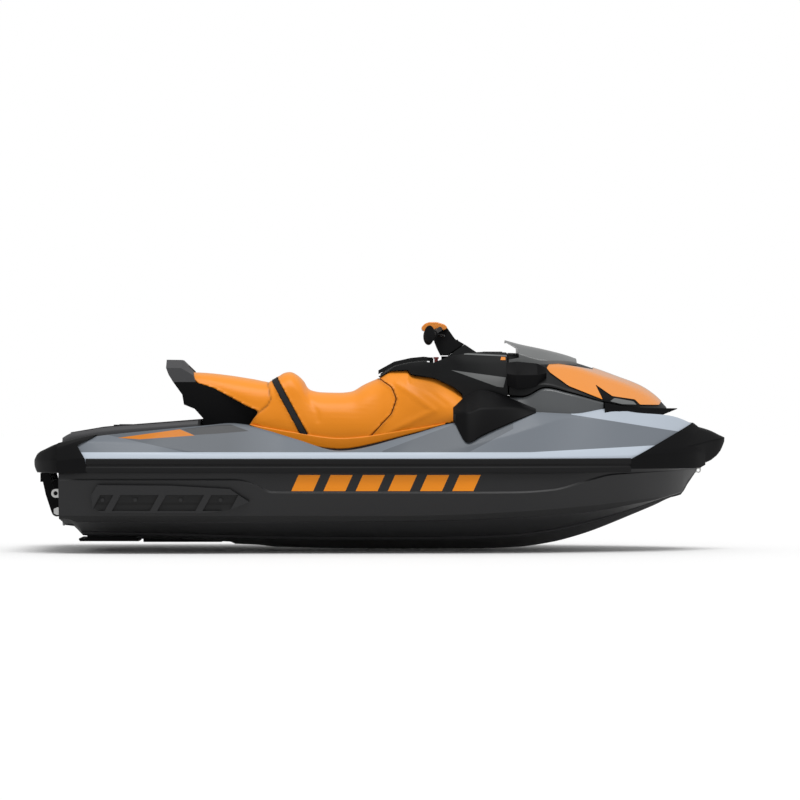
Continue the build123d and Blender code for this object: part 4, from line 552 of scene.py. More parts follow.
def place(name, mesh, slot, nodes=(), body="craft", angle=32.0, finish=None):
    """The mesh as a piece on a body, with its slot's finish or another one, standing for the nodes."""
    mesh.materials.clear()
    mesh.materials.append(finishes[finish or slot])
    mesh.polygons.foreach_set("material_index", np.zeros(len(mesh.polygons), np.int32))
    mesh.shade_smooth()
    mesh.set_sharp_from_angle(angle=math.radians(angle))
    obj = linked(mesh, name)
    mesh.name = name
    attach(obj, body)
    if nodes:
        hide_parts(*nodes)
    return obj


def bevelled(obj, width, segments=2, angle=30.0):
    """Edges sharper than angle get a narrow round."""
    edges = obj.modifiers.new("edges", "BEVEL")
    edges.width, edges.segments = width * MM, segments
    edges.limit_method, edges.angle_limit = "ANGLE", math.radians(angle)
    edges.harden_normals = True
    return obj


# Shader maths

class Sock:
    """A socket or number that can be used in an expression, which adds one Math node per operation."""

    def __init__(self, tree, value):
        self.tree = tree
        self.value = value

    def _math(self, operation, *others):
        values = [other.value if isinstance(other, Sock) else other for other in others]
        return self.tree.node("ShaderNodeMath", {"operation": operation}, [self.value, *values])

    def __add__(self, other):
        return self._math("ADD", other)

    __radd__ = __add__

    def __sub__(self, other):
        return self._math("SUBTRACT", other)

    def __rsub__(self, other):
        return Sock(self.tree, other)._math("SUBTRACT", self)

    def __mul__(self, other):
        return self._math("MULTIPLY", other)

    __rmul__ = __mul__

    def __truediv__(self, other):
        return self._math("DIVIDE", other)

    def __gt__(self, other):
        return self._math("GREATER_THAN", other)

    def __lt__(self, other):
        return self._math("LESS_THAN", other)

    def absolute(self):
        return self._math("ABSOLUTE")

    def fraction(self):
        return self._math("FRACT")

    def smaller(self, other):
        return self._math("MINIMUM", other)

    def larger(self, other):
        return self._math("MAXIMUM", other)

    def between(self, low, high):
        return (self > low) * (self < high)


class Finish:
    """One material's node tree, with one method that adds any node."""

    def __init__(self, name):
        self.material = bpy.data.materials.new(name)
        self.material.use_nodes = True
        self.nodes = self.material.node_tree.nodes
        self.links = self.material.node_tree.links
        self.nodes.clear()
        self.shader = self.nodes.new("ShaderNodeBsdfPrincipled")
        output = self.nodes.new("ShaderNodeOutputMaterial")
        self.links.new(self.shader.outputs[0], output.inputs[0])
        self.spot = self.nodes.new("ShaderNodeTexCoord").outputs["Object"]
        split = self.node("ShaderNodeSeparateXYZ", {}, [self.spot], whole=True)
        self.x, self.y, self.z = (Sock(self, socket) for socket in split.outputs)

    def put(self, socket, value):
        """Links a socket or sets a constant."""
        value = value.value if isinstance(value, Sock) else value
        if isinstance(value, bpy.types.NodeSocket):
            self.links.new(value, socket)
        elif value is not None:
            if isinstance(value, tuple) and len(value) == 3 and socket.type == "RGBA":
                value = (*value, 1.0)
            socket.default_value = value

    def node(self, kind, settings, values, output=0, whole=False):
        """Adds a node: its settings first, then its sockets by place or by name."""
        made = self.nodes.new(kind)
        for key, value in settings.items():
            setattr(made, key, value)
        for key, value in values.items() if isinstance(values, dict) else enumerate(values):
            self.put(made.inputs[key], value)
        return made if whole else Sock(self, made.outputs[output])

    def noise(self, scale, detail=3.0, stretch=(1.0, 1.0, 1.0)):
        """Noise from 0 to 1, finer along an axis with a larger stretch."""
        spot = self.node("ShaderNodeMapping", {}, {"Vector": self.spot, "Scale": stretch}).value
        return self.node("ShaderNodeTexNoise", {}, {"Vector": spot, "Scale": scale, "Detail": detail})

    def cells(self, scale):
        """Distance to the nearest of scattered points."""
        return self.node("ShaderNodeTexVoronoi", {}, {"Vector": self.spot, "Scale": scale})

    def mix(self, share, first, second):
        """A colour between first and second."""
        made = self.node("ShaderNodeMix", {"data_type": "RGBA"}, {}, whole=True)
        for place, value in ((0, share), (6, first), (7, second)):
            self.put(made.inputs[place], value)
        return Sock(self, made.outputs[2])

    def bump(self, height, strength, distance):
        return self.node("ShaderNodeBump", {}, {"Strength": strength, "Distance": distance, "Height": height})

    def inside(self, corners):
        """1 within a convex outline (x, z), in metres, that runs anticlockwise in side view."""
        share = 1.0
        for (x0, z0), (x1, z1) in zip(corners, corners[1:] + corners[:1]):
            share = ((self.x - x0) * (z1 - z0) < (self.z - z0) * (x1 - x0)) * share
        return share

    def edge_on(self):
        """0 where the surface faces the eye, rising to 1 where it is seen edge on."""
        return self.node("ShaderNodeLayerWeight", {}, {"Blend": 0.3}, output="Facing")

    def mark(self, name):
        """A number kept on the mesh's points."""
        return self.node("ShaderNodeAttribute", {"attribute_name": name}, {}, output="Fac")

    def done(self, **sockets):
        """Fills the shader's sockets and gives the material."""
        for name, value in sockets.items():
            self.put(self.shader.inputs[name.replace("_", " ")], value)
        return self.material


def shade(colour, factor):
    """The colour made lighter or darker."""
    return tuple(channel * factor for channel in colour[:3])


# Finishes

def moulded_plastic(name, colour, roughness=0.5, grain=420.0, depth=0.00025, coat=0.0, shine=0.2):
    """Moulded plastic: a fine grain, slightly mottled."""
    f = Finish(name)
    mottle = f.noise(6.0, 4.0)
    base = f.mix(mottle * 0.12, colour, shade(colour, 1.5))
    return f.done(Base_Color=base, Roughness=mottle * 0.12 + (roughness - 0.06), Coat_Weight=coat,
                  Coat_Roughness=0.12, Specular_IOR_Level=shine,
                  Normal=f.bump(f.noise(grain, 2.0), 0.35, depth))


def gloss_moulding(name, colour, roughness=0.25, coat=0.6, pale=None):
    """Glossy moulding with faint orange peel; if pale is given, a painted sheen turns it pale where it is
    seen edge on.
    """
    f = Finish(name)
    mottle = f.noise(3.0, 2.0)
    base = f.mix(mottle * 0.08, colour, shade(colour, 1.2))
    if pale:
        # Painted sheen where the surface is seen edge on.
        base = f.mix(f.edge_on() * 0.3, base, pale)
    return f.done(Base_Color=base, Roughness=mottle * 0.05 + roughness, Coat_Weight=coat,
                  Coat_Roughness=0.08, Normal=f.bump(f.noise(160.0, 1.0), 0.08, 0.0004))


# Flat graphics on the deck's sides aft, side outlines in metres
ORANGE_DECAL = [(-1.252, 0.317), (-1.148, 0.310), (-0.890, 0.328), (-0.961, 0.357)]
GREY_DECAL = [(-0.894, 0.330), (-0.775, 0.337), (-0.633, 0.349), (-0.720, 0.380), (-0.767, 0.379),
              (-0.953, 0.358)]
DECAL_OUT = 0.47  # they lie outside this half-breadth

# Bars on the hull's sides, in metres: pitch along the craft, share that is orange, heights and lean
BAR_PITCH, BAR_SHARE, BAR_LOW, BAR_HIGH, BAR_LEAN = 0.152, 0.68, 0.066, 0.142, 0.45
BARS_FROM, BARS_TO = -0.46, 0.40  # where they start and end at the waterline
BARS_OUT = 0.45  # they lie outside this half-breadth

# Painted sheen: pale colours of orange surfaces that are seen edge on
VINYL_SHEEN = (1.0, 0.6, 0.24)
PANEL_SHEEN = (1.0, 0.66, 0.34)


def deck_finish(name, colour, orange, dark):
    """Satin deck in flat tones that paint light and shade, and an orange and a dark decal aft.

    In side view each tone ends at straight lines: painted shade on the quarters and below the knee cover,
    painted light on the front's upper facets, and a painted highlight, the palest tone, on the strip along
    the gunwale, which rises at the front.
    """
    f = Finish(name)
    mottle = f.noise(3.0, 2.0)
    wide = f.y.absolute()
    ahead = (f.x - 0.7).larger(0.0)
    base = f.mix(mottle * 0.06, colour, shade(colour, 1.2))
    # Painted shade on the quarters aft.
    quarter = ((f.x * -1.0 - 0.40) * 3.0).smaller(1.0).larger(0.0) * (f.z > 0.0444 - f.x * 0.2198)
    base = f.mix(quarter, base, shade(colour, 0.68))
    # Painted shade on the deck's side below the knee cover and the fairing.
    knee_shade = (f.z < f.x * 0.37 + 0.256) * (f.z > f.x * 0.52 + 0.037) * f.x.between(0.0, 0.62)
    base = f.mix(knee_shade * (wide > 0.45), base, shade(colour, 0.7))
    # Painted light on the front's upper facets, above the crease.
    front_facet_light = (f.x > 0.90) * (f.z > 0.568 - f.x * 0.157)
    base = f.mix(front_facet_light, base, shade(colour, 2.6))
    # Painted highlight on the strip along the gunwale.
    gunwale = (f.z < ahead * 0.05 + 0.249) * (wide > 0.50 - ahead * 0.6)
    base = f.mix(gunwale, base, shade(colour, 3.0))
    base = f.mix(f.inside(ORANGE_DECAL) * (wide > DECAL_OUT), base, shade(orange, 0.65))
    base = f.mix(f.inside(GREY_DECAL) * (wide > DECAL_OUT), base, dark)
    return f.done(Base_Color=base, Roughness=mottle * 0.05 + 0.4, Coat_Weight=0.05, Coat_Roughness=0.12,
                  Specular_IOR_Level=0.2, Normal=f.bump(f.noise(160.0, 1.0), 0.06, 0.0004))


def sponson_finish(name, colour):
    """Hull plastic, with painted shade on the sunken floors of the pockets, darkest in the slot along them.
    """
    f = Finish(name)
    mottle = f.noise(5.0, 4.0)
    pocket_shade = f.y.absolute() < (f.z + 0.05) * 0.1 + 0.592
    base = f.mix(mottle * 0.15, colour, shade(colour, 1.35))
    # Painted shade in the pockets and, darkest, in their slot.
    base = f.mix(pocket_shade * (f.z.between(0.0, 0.012) * 0.3 + 0.7), base, shade(colour, 0.1))
    return f.done(Base_Color=base, Roughness=mottle * 0.1 + 0.4, Specular_IOR_Level=0.3,
                  Normal=f.bump(f.noise(380.0, 2.0), 0.2, 0.0003))


def hull_finish(name, colour, orange):
    """Satin hull: slanted bars on each side, faint scuffs, painted light that makes the bottom paler, and
    a band of painted shade under the chine.

    The chine's height is 0.045 x^2 - 0.052 ahead of amidships. The bars are the low part of a sawtooth along
    x - lean * z.
    """
    f = Finish(name)
    mottle = f.noise(5.0, 4.0)
    worn = (f.noise(4.0, 5.0, (2.0, 30.0, 30.0)) - 0.58).larger(0.0) * 1.6
    base = f.mix(mottle * 0.15, colour, shade(colour, 1.35))
    base = f.mix(worn * 0.3, base, shade(colour, 1.8))
    # Painted light: the bottom is paler, for the light the floor throws up under it.
    low = ((f.z * -1.0 - 0.08) * 12.0).smaller(1.0).larger(0.0)
    base = f.mix(low, base, shade(colour, 2.2))
    ahead = f.x.larger(0.0)
    chine = ahead * ahead * 0.045 - 0.052
    # Painted shade: a dark band in the tuck under the chine.
    base = f.mix((f.z < chine) * (f.z > chine - 0.030), base, shade(colour, 0.3))
    slant = f.x - f.z * BAR_LEAN
    bars = ((slant - BARS_FROM) / BAR_PITCH).fraction().between(0.0, BAR_SHARE)
    bars = bars * slant.between(BARS_FROM, BARS_TO) * f.z.between(BAR_LOW, BAR_HIGH)
    bars = bars * (f.y.absolute() > BARS_OUT)
    base = f.mix(bars, base, orange)
    return f.done(Base_Color=base, Roughness=mottle * 0.1 + 0.36, Coat_Weight=0.05, Coat_Roughness=0.2,
                  Specular_IOR_Level=0.3, Normal=f.bump(f.noise(380.0, 2.0), 0.2, 0.0003))


def metal(name, colour, roughness=0.3, brushed=(60.0, 4.0, 4.0)):
    """Metal with fine tool marks."""
    f = Finish(name)
    marks = f.noise(12.0, 3.0, brushed)
    return f.done(Base_Color=f.mix(marks * 0.25, colour, shade(colour, 0.7)), Metallic=1.0,
                  Roughness=marks * 0.15 + roughness, Normal=f.bump(marks, 0.1, 0.0003))


def vinyl(name, colour, dark):
    """Marine vinyl: fine leather grain, a painted sheen where it is seen edge on, and painted shade in the
    sewn seams and along the cuts, given by the mesh's seam mark.
    """
    f = Finish(name)
    mottle = f.noise(4.0, 3.0)
    seam = f.mark("seam")
    base = f.mix(mottle * 0.2, colour, dark)
    # Painted shade in the sewn channels and along the cuts between pieces.
    base = f.mix(seam * 0.75, base, shade(dark, 0.35))
    # Painted sheen: pale where the vinyl is seen edge on.
    base = f.mix(f.edge_on() * 0.3, base, VINYL_SHEEN)
    height = f.cells(330.0) * 0.3 - seam
    return f.done(Base_Color=base, Roughness=mottle * 0.08 + 0.44, Coat_Weight=0.5, Coat_Roughness=0.28,
                  Coat_IOR=1.25, Specular_IOR_Level=0.2, Normal=f.bump(height, 0.3, 0.0006))


def webbing(name, colour):
    """Woven strap: fine ribs."""
    f = Finish(name)
    ribs = ((f.x * 260.0).fraction() - 0.5).absolute() + ((f.z * 260.0).fraction() - 0.5).absolute()
    return f.done(Base_Color=f.mix(ribs * 0.4, colour, shade(colour, 2.0)), Roughness=0.85,
                  Normal=f.bump(ribs, 0.5, 0.0008))


def foam(name, colour):
    """Foam traction mat: diamonds cut in a soft rubber."""
    f = Finish(name)
    one = ((f.x * 30.0 + f.y * 30.0).fraction() - 0.5).absolute()
    two = ((f.x * 30.0 - f.y * 30.0).fraction() - 0.5).absolute()
    line = one.larger(two) > 0.44
    return f.done(Base_Color=f.mix(line, colour, shade(colour, 0.5)), Roughness=0.9,
                  Normal=f.bump(1.0 - line, 0.6, 0.0015))


def glassy(name, colour, roughness, metallic=0.0):
    """A clear or mirror-like face with faint dust."""
    f = Finish(name)
    dust = f.noise(40.0, 2.0)
    return f.done(Base_Color=f.mix(dust * 0.1, colour, shade(colour, 0.8)), Roughness=dust * 0.05 + roughness,
                  Metallic=metallic)


class WatercraftColours(bpy.types.PropertyGroup):
    """Colours of the craft."""

    hull: FloatVectorProperty(name="Hull", description="Hull sides and bottom", subtype="COLOR",
                              default=(0.0165, 0.0165, 0.0175))
    deck: FloatVectorProperty(name="Deck", description="Satin deck", subtype="COLOR",
                              default=(0.172, 0.192, 0.218))
    orange: FloatVectorProperty(name="Accent", description="Seats and panels", subtype="COLOR",
                                default=(0.97, 0.295, 0.006))
    black: FloatVectorProperty(name="Black", description="Textured mouldings", subtype="COLOR",
                               default=(0.004, 0.004, 0.0044))
    dark: FloatVectorProperty(name="Dark grey", description="Console and hatch", subtype="COLOR",
                              default=(0.0065, 0.007, 0.0075))
    mid: FloatVectorProperty(name="Mid grey", description="Coaming", subtype="COLOR",
                             default=(0.075, 0.08, 0.084))
    metal: FloatVectorProperty(name="Metal", description="Pump and fittings", subtype="COLOR",
                               default=(0.62, 0.63, 0.64))
    floor: FloatVectorProperty(name="Floor", description="Studio floor", subtype="COLOR",
                               default=(1.0, 1.0, 1.0))


class WatercraftSizes(bpy.types.PropertyGroup):
    """Sizes of the padding and of the studio."""

    voxel: FloatProperty(name="Padding mesh", description="Spacing of the padding's mesh", default=0.008,
                         unit="LENGTH")
    swell: FloatProperty(name="Swell", description="Most that the padding may swell", default=0.007,
                         unit="LENGTH")
    shrink: FloatProperty(name="Shrink", description="How much smaller the padding starts", default=0.005,
                          unit="LENGTH")
    seam_depth: FloatProperty(name="Seam depth", description="Depth of the sewn channels", default=0.004,
                              unit="LENGTH")
    camera_distance: FloatProperty(name="Camera distance", description="From the centreline", default=20.0,
                                   unit="LENGTH")
    view_width: FloatProperty(name="View width", description="Width seen at the centreline", default=3.892,
                              unit="LENGTH")
    look_x: FloatProperty(name="Look at X", description="Picture centre along the craft", default=0.083,
                          unit="LENGTH")
    look_z: FloatProperty(name="Look at Z", description="Picture centre's height", default=0.496,
                          unit="LENGTH")
    floor_z: FloatProperty(name="Floor", description="Height of the floor, just under the keel",
                           default=CAD_BOX[0][2] - 0.001, unit="LENGTH")


finishes = {}


def make_finishes(c):
    """One finish for each of the record's slots, and three more that a piece may wear under its slot."""
    orange = tuple(c.orange)
    finishes.update({
        "hull_grey": hull_finish("hull_grey", tuple(c.hull), orange),
        "deck_light_grey": deck_finish("deck_light_grey", tuple(c.deck), orange, (0.06, 0.062, 0.066)),
        "black_plastic": moulded_plastic("black_plastic", tuple(c.black), 0.5, shine=0.1),
        "dark_plastic": moulded_plastic("dark_plastic", tuple(c.dark), 0.4),
        "mid_grey_plastic": gloss_moulding("mid_grey_plastic", tuple(c.mid), 0.32, 0.3),
        "visor_grey": gloss_moulding("visor_grey", (0.14, 0.145, 0.145), 0.3, 0.3),
        "platform_grey": moulded_plastic("platform_grey", (0.07, 0.07, 0.073), 0.5),
        "sponson": sponson_finish("sponson", shade(c.hull, 1.2)),
        "bumper_rubber": moulded_plastic("bumper_rubber", (0.007, 0.007, 0.0075), 0.55, 260.0),
        "foam_mat": foam("foam_mat", (0.032, 0.032, 0.035)),
        "seat_orange": vinyl("seat_orange", orange, shade(orange, 0.72)),
        "strap_webbing": webbing("strap_webbing", (0.008, 0.008, 0.009)),
        "panel_orange": gloss_moulding("panel_orange", shade(orange, 0.88), 0.2, 1.0, PANEL_SHEEN),
        "grip_rubber": moulded_plastic("grip_rubber", (0.003, 0.003, 0.0035), 0.75, 300.0, 0.0006),
        "bar_steel": moulded_plastic("bar_steel", (0.005, 0.005, 0.0055), 0.4),
        "pump_aluminium": metal("pump_aluminium", tuple(c.metal), 0.38),
        "stainless_steel": metal("stainless_steel", (0.66, 0.66, 0.65), 0.22),
        "engine_metal": metal("engine_metal", (0.4, 0.4, 0.42), 0.5),
        "mirror_face": glassy("mirror_face", (0.85, 0.86, 0.87), 0.02, 1.0),
        "screen_glass": glassy("screen_glass", (0.008, 0.009, 0.012), 0.06),
        "red_plastic": gloss_moulding("red_plastic", (0.25, 0.01, 0.012), 0.3, 0.4),
    })


def dress_nodes():
    """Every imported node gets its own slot's finish."""
    for entry in frame["record"]["subparts"]:
        data = frame["nodes"][entry["node"]].data
        data.materials.clear()
        data.materials.append(finishes[entry["material_slot"]])


# Hull and deck

def hull_half(x):
    """Half the hull's outer line at stations x, from the keel to the sheer."""
    keel_z, strake_y, strake_z, chine_y, chine_z, side_y, crease_z = between_rows(HULL, x).T
    small = np.minimum(1.0, (chine_z - keel_z) / SMALL_BOW)
    sheer_y = between_rows(DECK, x)[:, 0] - BOND_STEP
    return pairs((0.0, keel_z), (strake_y, strake_z), (strake_y + STRAKE_WIDTH * small, strake_z),
                 (strake_y + (STRAKE_WIDTH + 4) * small, strake_z + STRAKE_LIP * small),
                 (chine_y - CHINE_TUCK * small, chine_z - CHINE_TUCK * small), (chine_y, chine_z),
                 (side_y, crease_z), (side_y - CREASE_STEP * small, crease_z + CREASE_STEP * small),
                 (sheer_y, SHEER_Z))


def hull_line(x):
    """The whole outer line: starboard sheer, keel, port sheer."""
    half = hull_half(x)
    return np.concatenate([half[:, :0:-1] * (-1, 1), half], axis=1)


def hull_block():
    """The hull filled up to the sheer."""
    x = stations(HULL)
    return skin("hull_block", x, rounded(hull_line(x), HULL_RADII[::-1] + [KEEL_RADIUS] + HULL_RADII))


def hull_hollow():
    """The room inside the hull's wall."""
    x = stations(HULL, HULL[0][0] + HULL_WALL, HOLLOW_TO)
    line = moved_out(hull_line(x), -HULL_WALL)
    top = np.full((len(x), 1, 2), SHEER_Z + 60)
    first, last = top.copy(), top.copy()
    first[:, 0, 0], last[:, 0, 0] = line[:, 0, 0], line[:, -1, 0]
    return skin("hull_hollow", x, rounded(np.concatenate([first, line, last], axis=1), 3))


def tunnel_room(grow=0.0):
    """The pump tunnel grown by the walls round it."""
    roof, front = TUNNEL_ROOF + grow, PUMP_FRONT + grow
    line = [(-1700, UNDER_HULL), (-1700, roof), (front, roof), (front, UNDER_HULL)]
    return slab("tunnel", line, TUNNEL_HALF + grow)


def duct_room(grow=0.0):
    """The slanted intake duct ahead of the pump."""
    roof, front = PUMP_Z + BORE_R + grow, DUCT_FRONT + grow * 1.4
    line = [(PUMP_FRONT - 1, UNDER_HULL), (PUMP_FRONT - 1, roof), (PUMP_FRONT + 40, roof), (front, -200),
            (front, UNDER_HULL)]
    return slab("duct", line, DUCT_HALF + grow)


def make_hull():
    """The hull shell with its pump tunnel and intake duct."""
    hollow = carved("hollow", hull_hollow(), ("cut", tunnel_room(TUNNEL_WALL)),
                    ("cut", duct_room(TUNNEL_WALL)))
    mesh = carved("hull", hull_block(), ("cut", hollow), ("cut", tunnel_room()), ("cut", duct_room()))
    place("hull_shell", mesh, "hull_grey", ["hull"], angle=26)


def deck_line(x):
    """The deck's outer line at stations x, from port gunwale over to starboard."""
    v = between_rows(DECK, x)
    points = [(v[:, 0], SHEER_Z), (v[:, 0], v[:, 1]), (v[:, 0] - BEVEL_IN, v[:, 1] + BEVEL_UP)]
    points += [(v[:, i], v[:, i + 1]) for i in range(2, 14, 2)]
    return other_side(pairs(*points))


def deck_block(grow=0.0, bottom=UNDER_HULL, x_from=None, x_to=None):
    """Everything below the deck's outer surface moved outwards by grow, down to a flat bottom."""
    x = stations(DECK, x_from, x_to)
    line = moved_out(deck_line(x), grow) if grow else deck_line(x)
    first, last = line[:, :1].copy(), line[:, -1:].copy()
    first[..., 1] = last[..., 1] = bottom
    radii = [1, 2, *DECK_RADII[1:], *DECK_RADII[:0:-1], 2, 1]
    return skin("deck_block", x, rounded(np.concatenate([first, line, last], axis=1), radii))


def make_deck():
    """The deck shell in one moulding, open for the storage bin."""
    x = stations(DECK)
    line = deck_line(x)
    first, last = line[:, :1].copy(), line[:, -1:].copy()
    first[..., 0] -= BOND_LAP
    last[..., 0] += BOND_LAP
    outer = np.concatenate([first, line, last], axis=1)
    inner = moved_out(outer, -DECK_WALL)
    radii = [1, *DECK_RADII, *DECK_RADII[::-1], 1]
    section = np.concatenate([outer, inner[:, ::-1]], axis=1)
    shell = skin("deck", x, rounded(section, radii + radii[::-1]))
    x_from, x_to, half, top = STORAGE
    opening = block("opening", x_from - GAP, x_to + GAP, -half - GAP, half + GAP, top - 60, top + 20)
    shell = carved("deck", shell, ("cut", opening), ("cut", slab("nose", NOSE_TRIM)))
    place("deck_moulding", shell, "deck_light_grey", ["deck"], angle=28)


def make_bumper():
    """The rubber bumper that hooks under the bonded flange on each side, with two ribs along it."""
    x = stations(DECK, BUMPER_FROM, BUMPER_TO)
    v = between_rows(DECK, x)
    edge = v[:, 0] + 0.3
    out, hull_side = edge + BUMPER_OUT, v[:, 0] - BOND_STEP + 0.3
    low, top, waist = BUMPER_BOTTOM, BUMPER_TOP, (BUMPER_BOTTOM + BUMPER_TOP) / 2
    section = pairs((hull_side, low), (out - 2, low), (out, low + 10), (out, waist - 8), (out - 5, waist - 4),
                    (out - 5, waist + 4), (out, waist + 8), (out, top - 6), (out - 3, top), (edge, top),
                    (edge, SHEER_Z - 0.3), (hull_side, SHEER_Z - 0.3))
    port = skin("bumper", x, rounded(section, BUMPER_RADII, 3))
    both = joined("bumper", port, mirrored(port))
    place("gunwale_bumper_rubber", both, "bumper_rubber", ["gunwale_bumper"])


def cap_block(table):
    """The solid end of a cap through its table."""
    x = stations(table, pitch=16.0)
    v = between_rows(table, x)
    half = pairs((0.0, v[:, 1]), (v[:, 0], v[:, 1]), (v[:, 2], v[:, 3]), (v[:, 4], v[:, 5]), (0.0, v[:, 6]))
    return skin("cap", x, rounded(closed_round(half), CAP_RADII))


def tow_pocket():
    """The pocket round the tow eye."""
    x_from, x_to, half, floor = TOW_POCKET
    return block("pocket", x_from, x_to, -half, half, floor, 400)


def make_stern_cap():
    """The cap round the stern: its block and a skirt outside the deck, less the deck and the hull."""
    ends = DECK[0][0], STERN_SKIRT_TO
    mesh = carved("stern_cap", cap_block(STERN_CAP), ("join", deck_block(TRIM, BUMPER_BOTTOM, *ends)),
                  ("keep", slab("line", STERN_LINE)), ("cut", deck_block(0, SHEER_Z, *ends)),
                  ("cut", hull_block()), ("cut", tow_pocket()))
    place("stern_cap_moulding", mesh, "black_plastic", ["stern_cap"])


def make_bow_cap():
    """The cap over the bow, made as the stern's, and cut away below the nose."""
    ends = BOW_SKIRT_FROM, DECK[-1][0]
    mesh = carved("bow_cap", cap_block(NOSE), ("join", deck_block(TRIM, CAP_SKIRT, *ends)),
                  ("keep", slab("line", NOSE_LINE)), ("cut", deck_block(0, SHEER_Z, *ends)),
                  ("cut", hull_block()), ("cut", slab("chin", CHIN)))
    place("bow_cap_moulding", mesh, "black_plastic", ["bow_cap"])


def make_platform():
    """The swim platform, with wells for the anchors."""
    x = stations(PLATFORM)
    half, top = between_rows(PLATFORM, x).T
    section = other_side(pairs((0.0, 200.0), (half, 200.0), (half, top - PLATFORM_EDGE),
                               (half - PLATFORM_EDGE, top), (half - 60, top), (0.0, top)))
    body = skin("platform", x, rounded(section, PLATFORM_RADII))
    at, y, radius, depth = ANCHORS
    top_z = float(between_rows(PLATFORM, np.array([at]))[0, 1])
    wells = [column("well", at, side, top_z - depth, top_z + 40, radius) for side in (y, -y)]
    mesh = carved("platform", body, ("cut", deck_block(0, UNDER_HULL, None, -800)),
                  ("cut", cap_block(STERN_CAP)), ("cut", tow_pocket()), *(("cut", well) for well in wells))
    place("swim_platform_moulding", mesh, "black_plastic", ["swim_platform"], finish="platform_grey")


# Seats

# How the padding is sewn and swollen, in millimetres in side view
SEAM_REACH = 4.0  # reach of a sewn channel to each side
CUT_REACH = 8.0  # distance over which the drawing-in grows from a cut
EDGE_REACH, EDGE_MARK = 5.0, 0.8  # reach and strength of the painted shade along a cut
HELD_BY_CUT, HELD_ABOVE_FOOT, HELD_MARK = 7, 14, 0.8  # what pressure doesn't move

# The vinyl over its foam, for the pressure that swells it
VINYL_MASS, VINYL_STIFFNESS, FOAM_PRESSURE, SWELL_FRAMES = 0.05, 0.5, 4.0, 20


def saddle_block(grow=0.0):
    """Both seats and the knee cover as one form, before it is split."""
    x = stations(SADDLE, pitch=18.0)
    top, crown, shoulder_y, shoulder_z, skirt = between_rows(SADDLE, x).T
    foot = between_rows(DECK, x)[:, -1] + GAP
    half = pairs((0.0, foot), (skirt + grow, foot), (skirt + grow, foot + SKIRT_BAND),
                 (shoulder_y + grow, shoulder_z + grow), (crown + grow / 2, top + grow),
                 (0.0, top + SADDLE_CROWN + grow))
    return skin("saddle", x, rounded(closed_round(half), SADDLE_RADII, 6))


def strap_line(shift):
    """The strap's middle line in side view, moved ahead by shift, from the top down."""
    (x_top, z_top), (x_low, z_low) = STRAP_AT
    return [(x_top + (z - z_top) * (x_low - x_top) / (z_low - z_top) + shift, z) for z in STRAP_REACH]


def aft_of(line, reach=-3000.0):
    """A slab of everything aft of a side line that is given from the top down."""
    return slab("aft", [(reach, line[0][1]), *line, (reach, line[-1][1])])


def near_line(points, line):
    """Distance in side view from points (x, z) to a polyline."""
    line = np.array(line, float)
    start, run = line[:-1], np.diff(line, axis=0)
    offset = points[:, None] - start
    share = np.clip((offset * run).sum(2) / (run**2).sum(1), 0, 1)
    return np.linalg.norm(offset - share[..., None] * run, axis=2).min(1)


def remeshed(mesh, voxel):
    """The mesh as an even grid of quads."""
    obj = linked(mesh)
    even = obj.modifiers.new("even", "REMESH")
    even.mode, even.voxel_size, even.adaptivity = "VOXEL", voxel, 0.0
    made = bpy.data.meshes.new_from_object(obj.evaluated_get(bpy.context.evaluated_depsgraph_get()))
    bpy.data.objects.remove(obj)
    return made


def spots(mesh, what="co"):
    """The places or the normals of the mesh's points, one row each."""
    flat = np.empty(len(mesh.vertices) * 3)
    mesh.vertices.foreach_get(what, flat)
    return flat.reshape(-1, 3)


def blown_up(mesh, held, most):
    """Each point's movement under pressure from inside; the held ones are fixed, and none moves past most."""
    obj = linked(mesh)
    obj.vertex_groups.new(name="held").add(np.flatnonzero(held).tolist(), 1.0, "REPLACE")
    cloth = obj.modifiers.new("cloth", "CLOTH")
    cloth.settings.mass = VINYL_MASS
    cloth.settings.use_pressure = True
    cloth.settings.uniform_pressure_force = FOAM_PRESSURE
    cloth.settings.bending_stiffness = VINYL_STIFFNESS
    cloth.settings.vertex_group_mass = "held"
    cloth.settings.effector_weights.gravity = 0.0
    for step in range(1, SWELL_FRAMES + 1):
        bpy.context.scene.frame_set(step)
    made = bpy.data.meshes.new_from_object(obj.evaluated_get(bpy.context.evaluated_depsgraph_get()))
    move = spots(made) - spots(mesh)
    bpy.data.objects.remove(obj)
    bpy.context.scene.frame_set(1)
    size = np.linalg.norm(move, axis=1, keepdims=True)
    return move * np.minimum(1.0, most / np.maximum(size, 1e-9))


def calmed(mesh, move, held, rounds=12):
    """The movement evened out: each free point takes the mean of its own and its neighbours', many times."""
    ends = np.empty(len(mesh.edges) * 2, np.int32)
    mesh.edges.foreach_get("vertices", ends)
    a, b = ends.reshape(-1, 2).T
    count = 1 + np.bincount(a, minlength=len(move)) + np.bincount(b, minlength=len(move))
    for step in range(rounds):
        total = move.copy()
        np.add.at(total, a, move[b])
        np.add.at(total, b, move[a])
        move = np.where(held[:, None], 0.0, total / count[:, None])
    return move


def near_any(side, lines):
    """Distance in side view to the nearest of several polylines."""
    return np.min([near_line(side, line) for line in lines], axis=0)


